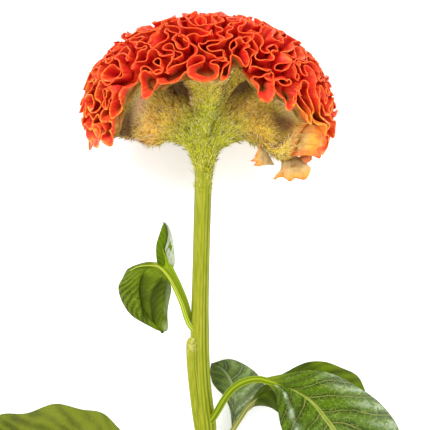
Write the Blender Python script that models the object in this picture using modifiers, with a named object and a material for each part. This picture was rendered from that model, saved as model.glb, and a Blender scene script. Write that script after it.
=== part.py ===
"""Crested celosia flower, cut with its leafy stem and laid on its back on a table.

The head is a drooping comb of ruffled ribbon on a hairy fan. A ribbed stem carries the fan, and six
leaves grow from three nodes of the stem. Run it with blender --background --python part.py.
"""

import math
import random

import bmesh
import bpy
from mathutils import Euler, Matrix, Vector

# Driving dimensions. The flower's own frame, in millimetres, has its origin at the neck, where the
# stem meets the head: +X goes across the head, +Y up the stem and +Z out of the upper side.
MM = 0.001
NECK_ABOVE_TABLE = 30.4
STEM_TILT = 8.73
GAP = 0.3

# The comb's body is a cap of an ellipsoid, and its ruffles stand out of that.
HEAD_CENTRE = Vector((2, 26, 0))
DOME_RADII = Vector((55.5, 41.5, 33.5))
COMB_THICKNESS = 4.0
RUFFLE_HEIGHT = 5.0
RUFFLE_DEPTH = 1.5
RUFFLE_WALL = 1.3
RUFFLE_RINGS = 7
RUFFLE_WAVE = 16.0
STEPS_A_WAVE = 6

# The hem is the comb's lower edge, as an angle from the crown in degrees. Its two ends droop, and it
# rises in front and behind. Each notch or tongue is (angle round the head, width, change).
HEM_MEAN = 94.0
HEM_DROOP = 19.5
HEM_NOTCHES = ((73, 5, -14), (130, 11, -15), (22, 8, -4), (238, 8, -8), (262, 7, 4), (296, 8, -9))

# The comb overhangs the fan by a lip, which is wide over each hollow: (angle, width, reach).
LIP_MEAN = 4.0
LIP_HOLLOWS = ((110, 9, 12), (66, 8, 12), (133, 7, 5), (48, 9, 5), (240, 10, 12), (294, 10, 12))

# Folds of the fan's underside: (angle, place from neck 0 to hem 1, angle width, place width, height).
FAN_FOLDS = (
    (91, 0.62, 10, 0.30, 3.2),
    (111, 0.80, 9, 0.20, -4.5),
    (66, 0.76, 9, 0.22, -4.5),
    (132, 0.83, 8, 0.14, -3.5),
    (152, 0.70, 13, 0.16, 5.5),
    (177, 0.69, 12, 0.07, 4.5),
    (180, 0.88, 16, 0.10, 3.0),
    (46, 0.80, 9, 0.16, -3.5),
    (15, 0.81, 21, 0.13, 18.0),
    (-6, 0.93, 15, 0.10, 10.0),
    (262, 0.62, 11, 0.30, 3.5),
    (239, 0.80, 9, 0.22, -4.5),
    (293, 0.80, 9, 0.22, -4.5),
    (208, 0.72, 14, 0.16, 5.0),
    (326, 0.76, 15, 0.16, 6.0),
)
NECK_RADIUS = 4.3
NECK_Y = -2.5
FAN_RISE = 14.0
ROUND_STEPS = 36
OUTER_RINGS = 5
INNER_RINGS = 3
FAN_RINGS = 11

# The stem's centreline from the neck to its cut end, with its radius at each point.
STEM_PATH = (
    ((0.0, -2.8, 0.0), 4.2),
    ((-0.5, -14.0, 0.0), 4.1),
    ((-1.0, -30.0, 0.2), 4.1),
    ((-1.5, -50.0, 0.3), 4.1),
    ((-1.9, -68.0, 0.2), 4.2),
    ((-2.0, -79.0, 0.0), 4.5),
    ((-1.8, -90.0, 0.0), 4.4),
    ((-1.2, -104.0, 0.0), 4.4),
    ((-0.1, -116.0, 0.0), 4.7),
    ((0.8, -123.0, 0.0), 4.9),
    ((1.5, -130.0, 0.0), 4.6),
    ((2.6, -142.0, 0.0), 4.7),
    ((3.4, -151.0, 0.0), 5.1),
    ((3.9, -158.0, 0.0), 4.8),
    ((4.4, -168.4, 0.0), 4.8),
)
STEM_STEPS = 18
STEM_RIBS = 9
RIB_DEPTH = 0.35
# A shoot's old base, grown to the stem's left side.
SPUR_PATH = (
    ((-6.2, -83.6, 2.4), 1.5),
    ((-6.3, -86.0, 2.3), 2.4),
    ((-5.9, -96.0, 1.9), 2.5),
    ((-4.9, -110.0, 1.4), 2.4),
    ((-3.2, -124.0, 0.8), 2.0),
    ((-1.0, -138.0, 0.2), 1.3),
)
BLADE_THICKNESS = 0.8
STALK_STEPS = 7
RIB_STEPS = 9
RIB_END = 0.93


def bell(angle, centre, width):
    """A smooth rise to 1 at centre, for angles in degrees."""
    away = (angle - centre + 180) % 360 - 180
    return math.exp(-((away / width) ** 2))


def hem_angle(around):
    droop = HEM_DROOP * math.cos(math.radians(2 * around))
    return HEM_MEAN + droop + sum(change * bell(around, at, width) for at, width, change in HEM_NOTCHES)


def lip_angle(around):
    """Where the fan meets the comb, inside the overhanging lip."""
    reach = LIP_MEAN + sum(more * bell(around, at, width) for at, width, more in LIP_HOLLOWS)
    return hem_angle(around) - reach


def dome_point(around, down, inset=0.0):
    """A point of the dome: around the head from +X towards +Z, and down from the crown."""
    a, d = math.radians(around), math.radians(down)
    x, y, z = math.sin(d) * math.cos(a), math.cos(d), math.sin(d) * math.sin(a)
    radii = DOME_RADII - Vector((inset, inset, inset))
    return HEAD_CENTRE + Vector((radii.x * x, radii.y * y, radii.z * z))


def on_dome(point, height=0.0):
    """The point brought to the dome along the line from the head's centre, then raised from it."""
    away = point - HEAD_CENTRE
    scale = math.sqrt(sum((c / r) ** 2 for c, r in zip(away, DOME_RADII)))
    surface = away / scale
    normal = Vector([c / r**2 for c, r in zip(surface, DOME_RADII)]).normalized()
    return HEAD_CENTRE + surface + normal * height, normal


def fan_base(around, rise):
    """The fan's underside without its folds: rise is 0 at the neck and 1 at the comb."""
    a = math.radians(around)
    ring = Vector((math.cos(a), 0, math.sin(a)))
    neck = ring * NECK_RADIUS + Vector((0, NECK_Y, 0))
    edge = dome_point(around, lip_angle(around), COMB_THICKNESS + GAP)
    bend = ring * (NECK_RADIUS + 1) + Vector((0, FAN_RISE + 0.2 * edge.y, 0))
    return neck * (1 - rise) ** 2 + bend * 2 * rise * (1 - rise) + edge * rise**2


def fan_point(around, rise, out=0.0):
    step_around, step_rise = 1.0, 0.01
    along = fan_base(around, rise + step_rise) - fan_base(around, rise - step_rise)
    across = fan_base(around + step_around, rise) - fan_base(around - step_around, rise)
    outward = along.cross(across).normalized()
    fold = sum(
        height * bell(around, at, width) * math.exp(-(((rise - place) / spread) ** 2))
        for at, place, width, spread, height in FAN_FOLDS
    )
    hold = 1 - (2 * min(1.0, max(0.0, rise)) - 1) ** 6
    return fan_base(around, rise) + outward * (fold * hold + out)


def new_object(name, mesh, collection):
    made = bpy.data.objects.new(name, mesh)
    collection.objects.link(made)
    return made


def mesh_from(bm, name):
    mesh = bpy.data.meshes.new(name)
    bm.to_mesh(mesh)
    bm.free()
    return mesh


def warped_sphere(name, rings, place):
    """A sphere whose rings, numbered from its top pole, go where place(around, ring) says."""
    bm = bmesh.new()
    bmesh.ops.create_uvsphere(bm, u_segments=ROUND_STEPS, v_segments=rings, radius=1)
    for vertex in bm.verts:
        x, y, z = vertex.co
        ring = round(math.acos(max(-1.0, min(1.0, z))) / math.pi * rings)
        vertex.co = place(-math.degrees(math.atan2(y, x)), ring) * MM
    bmesh.ops.triangulate(bm, faces=bm.faces, quad_method="SHORT_EDGE")
    bmesh.ops.recalc_face_normals(bm, faces=bm.faces)
    return mesh_from(bm, name)


def comb_place(around, ring):
    if ring <= OUTER_RINGS:
        return dome_point(around, hem_angle(around) * ring / OUTER_RINGS)
    share = (OUTER_RINGS + 1 + INNER_RINGS - ring) / INNER_RINGS
    return dome_point(around, lip_angle(around) * share, COMB_THICKNESS)


def fan_socket_place(around, ring):
    """The fan with its gap, which trims the foot of each frill."""
    return fan_place(around, ring, GAP)


def fan_place(around, ring, out=0.0):
    if ring <= INNER_RINGS:
        return dome_point(around, lip_angle(around) * ring / INNER_RINGS, COMB_THICKNESS + GAP)
    share = 1 - (ring - INNER_RINGS) / FAN_RINGS
    return fan_point(around, share**0.75, out) if share >= 0 else Vector((0, NECK_Y, 0))


def evaluated_mesh(obj):
    graph = bpy.context.evaluated_depsgraph_get()
    return bpy.data.meshes.new_from_object(obj.evaluated_get(graph))


def apply_boolean(obj, others, operation):
    """Joins the others to obj, or cuts them from it, and removes them."""
    tools = bpy.data.collections.new("boolean_tools")
    bpy.context.scene.collection.children.link(tools)
    for other in others:
        for home in list(other.users_collection):
            home.objects.unlink(other)
        tools.objects.link(other)
    boolean = obj.modifiers.new("boolean", "BOOLEAN")
    boolean.operation = operation
    boolean.operand_type = "COLLECTION"
    boolean.collection = tools
    boolean.solver = "MANIFOLD"
    bpy.context.view_layer.update()
    mesh = evaluated_mesh(obj)
    obj.modifiers.clear()
    obj.data = mesh
    for other in others:
        bpy.data.objects.remove(other)
    bpy.data.collections.remove(tools)


def ring_stations(fraction, spacing, phase):
    """The folded line of one ring of ruffle, as points of the dome."""
    dense = [dome_point(a, hem_angle(a) * fraction) for a in range(0, 360, 2)]
    lengths = [(dense[i] - dense[i - 1]).length for i in range(len(dense))]
    waves = max(3, round(sum(lengths) / RUFFLE_WAVE))
    stations = []
    for k in range(waves * STEPS_A_WAVE):
        turn = 2 * math.pi * k / STEPS_A_WAVE + phase
        target = sum(lengths) * k / (waves * STEPS_A_WAVE)
        i = 0
        while i < len(lengths) - 1 and target > lengths[i + 1]:
            target -= lengths[i + 1]
            i += 1
        here, ahead = dense[i], dense[(i + 1) % len(dense)]
        along = (ahead - here).normalized()
        centre, normal = on_dome(here + along * target)
        across = normal.cross(along)
        around = i * 2.0
        reach = spacing * (dome_point(around, hem_angle(around)) - dome_point(around, 0)).length
        swing = 0.40 * reach * (1 + 0.25 * math.sin(0.37 * k + 5 * phase))
        slide = -1.5 * math.sin(2 * turn)
        stations.append(centre + across * swing * math.sin(turn) + along * slide)
    return stations


def ruffle_ring(number, collection):
    """One closed ribbon that stands on the comb, folded back and forth round the head."""
    step = 0.88 / (RUFFLE_RINGS - 1)
    fraction = 0.97 - step * number
    rng = random.Random(number)
    stations = ring_stations(fraction, step, rng.uniform(0, 6))
    bm = bmesh.new()
    feet, rims = [], []
    for k, station in enumerate(stations):
        height = RUFFLE_HEIGHT * (1 + 0.12 * math.sin(0.9 * k + number))
        feet.append(bm.verts.new(on_dome(station, -RUFFLE_DEPTH)[0] * MM))
        rims.append(bm.verts.new(on_dome(station, height)[0] * MM))
    for k in range(len(stations)):
        after = (k + 1) % len(stations)
        bm.faces.new((feet[k], feet[after], rims[after], rims[k]))
    bmesh.ops.triangulate(bm, faces=bm.faces)
    ribbon = new_object(f"ruffle_{number}", mesh_from(bm, "ruffle"), collection)
    wall = ribbon.modifiers.new("wall", "SOLIDIFY")
    wall.thickness = RUFFLE_WALL * MM
    wall.offset = 0
    return ribbon


def flatten_on_table(obj, place):
    """What would reach below the table is pressed flat on it, as the head's own weight does."""
    back = place.inverted()
    for vertex in obj.data.vertices:
        point = place @ vertex.co
        if point.z < 0:
            point.z = 0
            vertex.co = back @ point


def build_comb(collection, place):
    comb = new_object("comb", warped_sphere("comb", OUTER_RINGS + 1 + INNER_RINGS, comb_place), collection)
    ribbons = [ruffle_ring(number, collection) for number in range(RUFFLE_RINGS)]
    apply_boolean(comb, ribbons, "UNION")
    flatten_on_table(comb, place)
    return comb


def build_fan(collection):
    mesh = warped_sphere("fan", INNER_RINGS + FAN_RINGS + 1, fan_place)
    mesh.shade_smooth()
    return new_object("fan", mesh, collection)


def spot_on(points, share):
    """The place at this share, 0 to 1, of the smooth curve through the points."""
    along = share * (len(points) - 1)
    i = min(int(along), len(points) - 2)
    t = along - i
    ends = [points[0] * 2 - points[1], *points, points[-1] * 2 - points[-2]]
    a, b, c, d = ends[i : i + 4]
    bend = (2 * a - 5 * b + 4 * c - d) * t**2 + (3 * b - a - 3 * c + d) * t**3
    return 0.5 * (2 * b + (c - a) * t + bend)


def smooth_path(points, count):
    return [spot_on(points, k / (count - 1)) for k in range(count)]


def tube(name, path, collection, profile=None, resolution=1):
    """A closed tube along the path of (point, radius), made a mesh."""
    curve = bpy.data.curves.new(name, "CURVE")
    curve.dimensions = "3D"
    curve.use_fill_caps = True
    if profile:
        curve.bevel_mode = "OBJECT"
        curve.bevel_object = profile
    else:
        curve.bevel_depth = MM
        curve.bevel_resolution = resolution
    spline = curve.splines.new("POLY")
    spline.points.add(len(path) - 1)
    for spot, (point, radius) in zip(spline.points, path):
        spot.co = (*(point * MM), 1)
        spot.radius = radius
    drawn = new_object(name + "_curve", curve, collection)
    bpy.context.view_layer.update()
    bm = bmesh.new()
    made = evaluated_mesh(drawn)
    bm.from_mesh(made)
    bmesh.ops.remove_doubles(bm, verts=bm.verts, dist=1e-6)
    bmesh.ops.recalc_face_normals(bm, faces=bm.faces)
    bpy.data.objects.remove(drawn)
    return new_object(name, mesh_from(bm, name), collection)


def stem_profile(collection):
    """The stem's ribbed cross-section, one unit in radius."""
    curve = bpy.data.curves.new("stem_profile", "CURVE")
    curve.dimensions = "2D"
    spline = curve.splines.new("POLY")
    spline.use_cyclic_u = True
    spline.points.add(2 * STEM_RIBS - 1)
    for k, spot in enumerate(spline.points):
        angle = math.pi * k / STEM_RIBS
        radius = MM if k % 2 else MM * (1 - RIB_DEPTH / 4)
        spot.co = (radius * math.cos(angle), radius * math.sin(angle), 0, 1)
    profile = new_object("stem_profile", curve, collection)
    profile.hide_render = True
    return profile


def paired_path(path, count):
    points = smooth_path([Vector(point) for point, _ in path], count)
    radii = smooth_path([Vector((radius, 0, 0)) for _, radius in path], count)
    return [(point, radius.x) for point, radius in zip(points, radii)]


def build_stem(collection):
    profile = stem_profile(collection)
    stem = tube("stem", paired_path(STEM_PATH, STEM_STEPS), collection, profile)
    bpy.data.objects.remove(profile)
    spur = tube("spur", paired_path(SPUR_PATH, 9), collection, resolution=1)
    apply_boolean(stem, [spur], "UNION")
    return stem


def stem_socket(collection):
    """The stem with its gap, which trims the foot of each leaf stalk."""
    fatter = [(point, radius + GAP) for point, radius in paired_path(STEM_PATH, STEM_STEPS)]
    return tube("socket", fatter, collection, resolution=3)


class Leaf:
    """A blade drawn between three lines, its rib and its left and right edges, with the stalk of its rib.

    Every line runs from the blade's foot to its tip. A bulge is how far each half stands out between the
    rib and the edge, and a wave is the edge's own (height, count, phase). Thick is the stalk's radius,
    then the rib's at the tip.
    """

    def __init__(self, name, rib, left, right, bulge, wave, stalk=(), thick=(0, 0), steps=10, across=3,
                 edge=0.0):
        self.name = name
        self.stalk = [Vector(point) for point in stalk]
        self.lines = [[Vector(point) for point in line] for line in (rib, left, right)]
        self.bulge = bulge
        self.wave = wave
        self.thick = thick
        self.steps = steps
        self.across = across
        self.edge = edge

    def point(self, u, v):
        """u runs from 0 at the foot to 1 at the tip, and v from -1 at the right edge to 1 at the left."""
        rib, left, right = (spot_on(line, u) for line in self.lines)
        ahead = spot_on(self.lines[0], min(1, u + 0.02)) - spot_on(self.lines[0], max(0, u - 0.02))
        normal = (left - right).cross(ahead)
        normal = normal.normalized() if normal.length > 1e-6 else Vector((0, 0, 1))
        if normal.z < 0:
            normal.negate()
        side = 0 if v > 0 else 1
        height, count, phase = self.wave
        wave = height * v * v * math.sin(2 * math.pi * count * u + phase + 2 * side)
        lift = 4 * self.bulge[side] * (abs(v) - v * v) + wave
        fade = math.sin(math.pi * min(1, max(0, u))) ** 0.5 if self.stalk else 1
        return rib + ((left, right)[side] - rib) * abs(v) + normal * lift * fade

    def build(self, collection, socket):
        bm = bmesh.new()
        bmesh.ops.create_grid(bm, x_segments=self.steps, y_segments=2 * self.across, size=1)
        for vertex in bm.verts:
            u, v = (vertex.co.x + 1) / 2, vertex.co.y
            reach = 1 - self.edge * (0.5 - 0.5 * math.cos(2 * math.pi * v))
            vertex.co = self.point(u * reach, v) * MM
        bmesh.ops.remove_doubles(bm, verts=bm.verts, dist=2e-5)
        bmesh.ops.triangulate(bm, faces=bm.faces, quad_method="SHORT_EDGE")
        blade = new_object(self.name, mesh_from(bm, self.name), collection)
        solid = blade.modifiers.new("thickness", "SOLIDIFY")
        solid.thickness = BLADE_THICKNESS * MM
        solid.offset = 0
        bpy.context.view_layer.update()
        blade.data = evaluated_mesh(blade)
        blade.modifiers.clear()
        if self.stalk:
            apply_boolean(blade, [tube(self.name + "_rib", self.rib_path(), collection)], "UNION")
        cutter = new_object("cutter", socket.data.copy(), collection)
        apply_boolean(blade, [cutter], "DIFFERENCE")
        return blade

    def rib_path(self):
        """The stalk, then the rib, which tapers under the blade and stops short of the tip."""
        thick, thin = self.thick
        stalk = [(point, thick) for point in smooth_path(self.stalk, STALK_STEPS)[:-1]]
        rib = []
        for k in range(RIB_STEPS):
            u = RIB_END * k / (RIB_STEPS - 1)
            radius = thick + (thin - thick) * u
            sunk = Vector((0, 0, 0.3 * radius * min(1, 4 * u)))
            rib.append((spot_on(self.lines[0], u) - sunk, radius))
        return stalk + rib


# Each stalk starts inside the stem, which trims it. Left and right are as the flower lies, seen from above.
LEAVES = (
    Leaf(
        "leaf_left_hanging",
        stalk=((-2.9, -80.6, 1), (-7.4, -76.3, 3.2), (-9.6, -69.6, 5), (-12.5, -62.2, 7),
            (-16.1, -55, 9), (-19.4, -50.6, 10.2), (-22.3, -48.4, 10.7)),
        rib=((-22.3, -48.4, 10.7), (-25.7, -48.7, 12.3), (-29, -51.6, 13.2), (-30.8, -56.6, 13.2),
            (-30.9, -62.9, 12.2), (-29, -68.9, 10.6), (-25.9, -73.7, 9), (-22.3, -77.3, 7.4),
            (-19.3, -79.3, 6)),
        left=((-22.6, -47.3, 10.5), (-27.8, -47, 10.6), (-34.1, -49, 9.8), (-38.2, -52.8, 9.2),
            (-40.6, -58.6, 8.7), (-39.1, -64.8, 8.2), (-34.1, -71.8, 7.6), (-26.4, -76.3, 6.8),
            (-19.3, -79.3, 6)),
        right=((-21.1, -49.7, 10.6), (-19.2, -51.8, 9.8), (-17.1, -55, 9), (-15.7, -58.8, 8.8),
            (-16.2, -62.9, 9.2), (-17.1, -67.7, 9.2), (-17.7, -72.5, 8.4), (-18.1, -76.6, 7.2),
            (-19.3, -79.3, 6)),
        bulge=(1.8, 1.2), wave=(0.5, 3, 0.4), thick=(1.05, 0.4),
    ),
    Leaf(
        "leaf_left_upright",
        stalk=((-2.9, -79.7, -1.5), (-6.5, -75.4, -0.6), (-8.4, -67.2, 0.4), (-10.8, -58.6, 1.4),
            (-13.2, -52.6, 2), (-15.2, -49.2, 2.2)),
        rib=((-15.2, -49.2, 2.2), (-17, -45.8, 2), (-18.7, -42.5, 1.7), (-19.4, -39.4, 1.3),
            (-19.1, -36.5, 0.8), (-18.4, -33.6, 0.1), (-18.2, -31, -0.7), (-18.6, -29, -1.5),
            (-19.1, -27.6, -2.2)),
        left=((-16.3, -49.4, 2.3), (-20.2, -47.8, 3.2), (-22.4, -45.1, 4), (-23, -41.3, 4.3),
            (-22.8, -37.9, 3.9), (-21.9, -34.8, 3), (-21, -31.9, 1.8), (-20.2, -29.5, 0.2),
            (-19.1, -27.6, -2.2)),
        right=((-14.3, -49.4, 2.4), (-14, -47.5, 3.6), (-13.9, -44.4, 4.4), (-14.1, -41.3, 4.4),
            (-14.5, -37.9, 3.9), (-15.1, -34.8, 3), (-16, -31.7, 1.6), (-17.3, -29.2, -0.3),
            (-19.1, -27.6, -2.2)),
        bulge=(-0.4, -0.4), wave=(0.25, 2, 1.0), thick=(1.25, 0.4),
    ),
    Leaf(
        "leaf_right_front",
        stalk=((1, -124.3, 1.5), (4.6, -121.2, 3.4), (8.6, -114, 7), (13.2, -107.5, 10.5),
            (18.7, -103.7, 13), (25, -102.1, 14.3), (30.6, -103.2, 14.8)),
        rib=((30.6, -103.2, 14.8), (38.1, -105.4, 16), (44.4, -108.2, 16.8), (51.4, -112.8, 16.8),
            (56.9, -119.5, 15.4), (61.9, -126.4, 13), (67.7, -137.8, 8.5), (73.9, -150.2, 3),
            (80.5, -163, -4.4)),
        left=((30.5, -104.2, 14.3), (34.1, -108.7, 13), (35.3, -114.2, 11.5), (36, -120.5, 9.6),
            (37.7, -127, 7.6), (40.8, -134.9, 5.5), (47.5, -144.5, 3), (61.4, -155, 0),
            (80.5, -163, -4.4)),
        right=((29.8, -101.5, 14.2), (41.3, -99.3, 14.5), (52.6, -98.1, 13.6), (63.8, -101, 12.3),
            (74.9, -107, 10.6), (86.9, -117.1, 8.4), (93.4, -128.2, 5.4), (91.7, -144.5, 1.4),
            (80.5, -163, -4.4)),
        bulge=(1.8, 1.8), wave=(0.9, 4, 0.6), thick=(1.85, 0.5),
    ),
    Leaf(
        "leaf_right_back",
        stalk=((2.4, -146.4, -1.5), (6.2, -140.6, -2), (10.1, -133.9, -1.8), (13.4, -128.2, -1.5),
            (17, -122.4, -1.2), (20.6, -117.1, -1)),
        rib=((20.6, -117.1, -1), (26.4, -110.6, 0), (33.1, -105.1, 1.2), (41.8, -100.6, 2.2),
            (51.4, -97.9, 2.6), (60.5, -98.4, 1.8), (68.2, -101.8, -0.3), (74.4, -107, -3.5),
            (79.4, -114.2, -7)),
        left=((20.2, -116.6, -1), (25.4, -109.6, -0.4), (31.9, -103.8, 0.3), (39.8, -99.2, 0.6),
            (48.5, -95.3, 0.6), (57.6, -94.3, -0.3), (66.7, -97.6, -2), (74.8, -102.4, -4.4),
            (79.4, -114.2, -7)),
        right=((20.9, -118.6, -1.4), (25.4, -116.2, -3), (31.7, -116.6, -4.4), (37.9, -120.5, -5.4),
            (46.1, -122.4, -6), (55.7, -122.4, -6.4), (65.3, -121.4, -7), (73.9, -119, -7.2),
            (79.4, -114.2, -7)),
        bulge=(0.8, 1.6), wave=(0.6, 3, 1.2), thick=(1.4, 0.45),
    ),
    Leaf(
        "leaf_right_lower",
        stalk=((2.9, -148.3, -1.5), (6.2, -143.5, -4.2), (10.1, -138.2, -6), (13, -133, -7.1),
            (14.2, -128.2, -7.6)),
        rib=((14.2, -128.2, -7.6), (14.6, -121.4, -8.2), (14.9, -116.2, -8.8), (14.7, -111.8, -9.3),
            (13.7, -106.8, -9.7), (11.9, -102.5, -10.2), (9.4, -99.1, -10.8), (6.5, -97, -11.5),
            (3.4, -95.8, -12.2)),
        left=((13.4, -128.2, -7.6), (13, -121.4, -8), (12, -116.6, -8.3), (9.8, -111.8, -8.6),
            (6.7, -108.5, -9), (4.5, -105.8, -9.4), (3.3, -102.7, -10), (2.8, -99.1, -11),
            (3.4, -95.8, -12.2)),
        right=((15.4, -128.2, -7.6), (17.3, -122.4, -7.8), (21.6, -116.9, -7.6), (26.4, -112.1, -7),
            (29.3, -106.8, -6.8), (26.6, -101.8, -7.4), (20.9, -96.9, -8.6), (12.5, -93.6, -10.4),
            (3.4, -95.8, -12.2)),
        bulge=(0.9, 0.9), wave=(0.5, 2, 0.5), thick=(1.35, 0.45),
    ),
    Leaf(
        "leaf_left_lower",
        stalk=((1.9, -153.6, 2.5), (-2.4, -151, 4.6), (-8.6, -147.4, 5.8), (-17.3, -144.5, 6.6),
            (-25.9, -143, 7)),
        rib=((-25.9, -143, 7), (-34.1, -139.7, 7.6), (-42.7, -136.8, 7.6), (-51.8, -134.6, 7.2),
            (-61.4, -133, 6.2), (-72, -131.8, 4.4), (-83.5, -130.6, 1.6), (-97, -129.4, -3),
            (-110.4, -128.2, -9.4)),
        left=((-26.4, -143.8, 6.8), (-34.1, -146.4, 5.4), (-43.7, -149.8, 3.6), (-54.2, -151.7, 1.8),
            (-65.3, -152.2, 0.2), (-77.3, -150.2, -1.4), (-89.8, -145.4, -3.4), (-101.3, -137.8, -6),
            (-110.4, -128.2, -9.4)),
        right=((-25.9, -142.3, 6.8), (-32.2, -134.4, 5.2), (-40.3, -126.5, 3.8), (-48.5, -119, 2.6),
            (-58.6, -117.1, 1.8), (-71.5, -114.5, 1), (-85.4, -119.2, -1), (-97.9, -120, -4.4),
            (-110.4, -128.2, -9.4)),
        bulge=(1.6, 1.8), wave=(0.8, 3, 2.0), thick=(1.8, 0.5),
    ),
)
# Three loose bits of the comb's ruffled edge hang below the right side of the fan.
FRILLS = (
    Leaf(
        "frill_lower",
        rib=((41.3, 3.8, 4), (42, 0.5, 5.6), (42, -2.4, 6.4), (41.5, -5.3, 6.4), (40.8, -7.2, 5.4)),
        left=((37, 3.8, 4.2), (36.9, 0.2, 5.4), (36.5, -2.4, 5.8), (34.3, -4.6, 6.2), (32.9, -6.3, 6.8)),
        right=((47.5, 3.8, 3.4), (49, 0.7, 4.6), (51, -1.4, 5.6), (50.6, -3.8, 6), (48.5, -6.5, 6.6)),
        bulge=(0.6, 0.6), wave=(0.5, 0.8, 0.0), steps=6, across=4, edge=0.06,
    ),
    Leaf(
        "frill_outer",
        rib=((48, 5.8, 5.6), (49, 3.8, 6.6), (49.9, 2.4, 7), (50.4, 1.4, 6.8)),
        left=((45.6, 4.8, 5.8), (46.8, 2.6, 6.8), (48, 1.2, 7.2), (49.1, 0.5, 7)),
        right=((50.4, 6.5, 5.2), (51.4, 4.8, 6.2), (51.6, 3.4, 6.6), (51.5, 2.1, 6.6)),
        bulge=(0.3, 0.3), wave=(0.0, 1, 0.0), steps=4, across=3,
    ),
    Leaf(
        "frill_inner",
        rib=((30.7, 5.3, 8), (28.6, 3.8, 9), (26.4, 3.1, 9.6), (24.2, 2.6, 9.6), (22.1, 2.1, 9.2)),
        left=((27.8, 10.3, 9), (26.6, 9.4, 10), (25.9, 7.9, 10.4), (25.2, 6.2, 10.2), (24.6, 4.6, 9.6)),
        right=((33.6, -0.2, 6.2), (31.2, 0, 7.4), (29, -0.2, 8.2), (26.4, -0.7, 8.4), (24, -1.2, 8.2)),
        bulge=(0.3, 0.3), wave=(0.0, 1, 0.0), steps=6, across=5, edge=0.0,
    ),
)

FINISHES = {
    "comb": ((0.78, 0.06, 0.012, 1), 0.55),
    "fan": ((0.45, 0.42, 0.08, 1), 0.75),
    "stem": ((0.36, 0.46, 0.04, 1), 0.42),
    "leaf": ((0.07, 0.21, 0.012, 1), 0.35),
    "frill": ((0.85, 0.34, 0.12, 1), 0.55),
}


def finish(obj, key):
    colour, roughness = FINISHES[key]
    material = bpy.data.materials.get(key) or bpy.data.materials.new(key)
    material.use_nodes = True
    shader = material.node_tree.nodes["Principled BSDF"]
    shader.inputs["Base Color"].default_value = colour
    shader.inputs["Roughness"].default_value = roughness
    shader.inputs["Metallic"].default_value = 0
    obj.data.materials.clear()
    obj.data.materials.append(material)


def build_flower():
    for obj in list(bpy.data.objects):
        bpy.data.objects.remove(obj)
    flower = bpy.data.collections.new("crested_celosia_flower")
    bpy.context.scene.collection.children.link(flower)
    tilt = Euler((math.radians(STEM_TILT), 0, 0))
    place = Matrix.LocRotScale(Vector((0, 0, NECK_ABOVE_TABLE * MM)), tilt, None)

    pieces = [(build_comb(flower, place), "comb"), (build_fan(flower), "fan"), (build_stem(flower), "stem")]
    stem_gap = stem_socket(flower)
    fan_gap = new_object("fan_gap", warped_sphere("fan_gap", INNER_RINGS + FAN_RINGS + 1, fan_socket_place), flower)
    pieces += [(leaf.build(flower, stem_gap), "leaf") for leaf in LEAVES]
    pieces += [(frill.build(flower, fan_gap), "frill") for frill in FRILLS]
    bpy.data.objects.remove(stem_gap)
    bpy.data.objects.remove(fan_gap)
    for obj, key in pieces:
        finish(obj, key)

    frame = new_object("flower_frame", None, flower)
    frame.matrix_world = place
    for obj, _ in pieces:
        obj.parent = frame
    centre_on_origin(frame, [obj for obj, _ in pieces])


def centre_on_origin(frame, pieces):
    """The origin is on the table, under the middle of the flower's outline."""
    bpy.context.view_layer.update()
    corners = [obj.matrix_world @ vertex.co for obj in pieces for vertex in obj.data.vertices]
    for axis in (0, 1):
        values = [corner[axis] for corner in corners]
        frame.location[axis] -= (min(values) + max(values)) / 2
    bpy.context.view_layer.update()


build_flower()
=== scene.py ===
"""Looks of a cut crested celosia that lies on its back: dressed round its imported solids."""

import math

import bmesh
import bpy
import numpy as np
from mathutils import Matrix, Vector

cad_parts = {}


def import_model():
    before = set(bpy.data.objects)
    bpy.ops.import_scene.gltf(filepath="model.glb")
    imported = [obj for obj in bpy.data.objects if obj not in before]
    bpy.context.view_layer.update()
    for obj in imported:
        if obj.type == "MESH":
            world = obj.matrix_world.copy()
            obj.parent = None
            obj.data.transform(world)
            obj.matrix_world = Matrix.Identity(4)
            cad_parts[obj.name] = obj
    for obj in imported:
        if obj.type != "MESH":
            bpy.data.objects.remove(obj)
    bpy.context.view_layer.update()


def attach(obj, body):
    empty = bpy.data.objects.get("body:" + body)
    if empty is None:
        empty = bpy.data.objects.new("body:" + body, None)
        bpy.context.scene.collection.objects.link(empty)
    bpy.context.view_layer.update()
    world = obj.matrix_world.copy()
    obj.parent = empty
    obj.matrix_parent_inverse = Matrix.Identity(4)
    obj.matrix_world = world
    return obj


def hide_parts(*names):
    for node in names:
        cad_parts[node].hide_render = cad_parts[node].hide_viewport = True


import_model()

# Table, light and camera. The flower's own frame is in millimetres: its origin is the neck, where the
# stem meets the head, +X goes across the head, +Y up the stem and +Z out of its upper side. PLACE
# lays that frame on the table, as the solids lie.
TILT = math.radians(8.73)
NECK_AT = (0.008366, 0.0474607, 0.0304)
PLACE = Matrix.Translation(NECK_AT) @ Matrix.Rotation(TILT, 4, "X") @ Matrix.Scale(0.001, 4)
VIEW_WIDTH = 206.4
VIEW_CENTRE = (5.28, -24.0)
CAMERA_HEIGHT = 1600.0

scene = bpy.context.scene
scene.view_settings.view_transform = "Standard"
camera = bpy.data.objects.new("camera", bpy.data.cameras.new("camera"))
camera.data.lens = camera.data.sensor_width * CAMERA_HEIGHT / VIEW_WIDTH
camera.data.clip_end = 20
scene.collection.objects.link(camera)
scene.camera = camera
camera.matrix_world = (
    Matrix.Translation(PLACE @ Vector((*VIEW_CENTRE, CAMERA_HEIGHT))) @ Matrix.Rotation(TILT, 4, "X")
)


def soft_light(name, at, size, watts):
    """A square studio light that faces the flower's middle."""
    light = bpy.data.lights.new(name, "AREA")
    light.energy = watts
    light.size = size
    lamp = bpy.data.objects.new(name, light)
    scene.collection.objects.link(lamp)
    lamp.location = at
    lamp.rotation_euler = Vector(at).to_track_quat("Z", "Y").to_euler()


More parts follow.
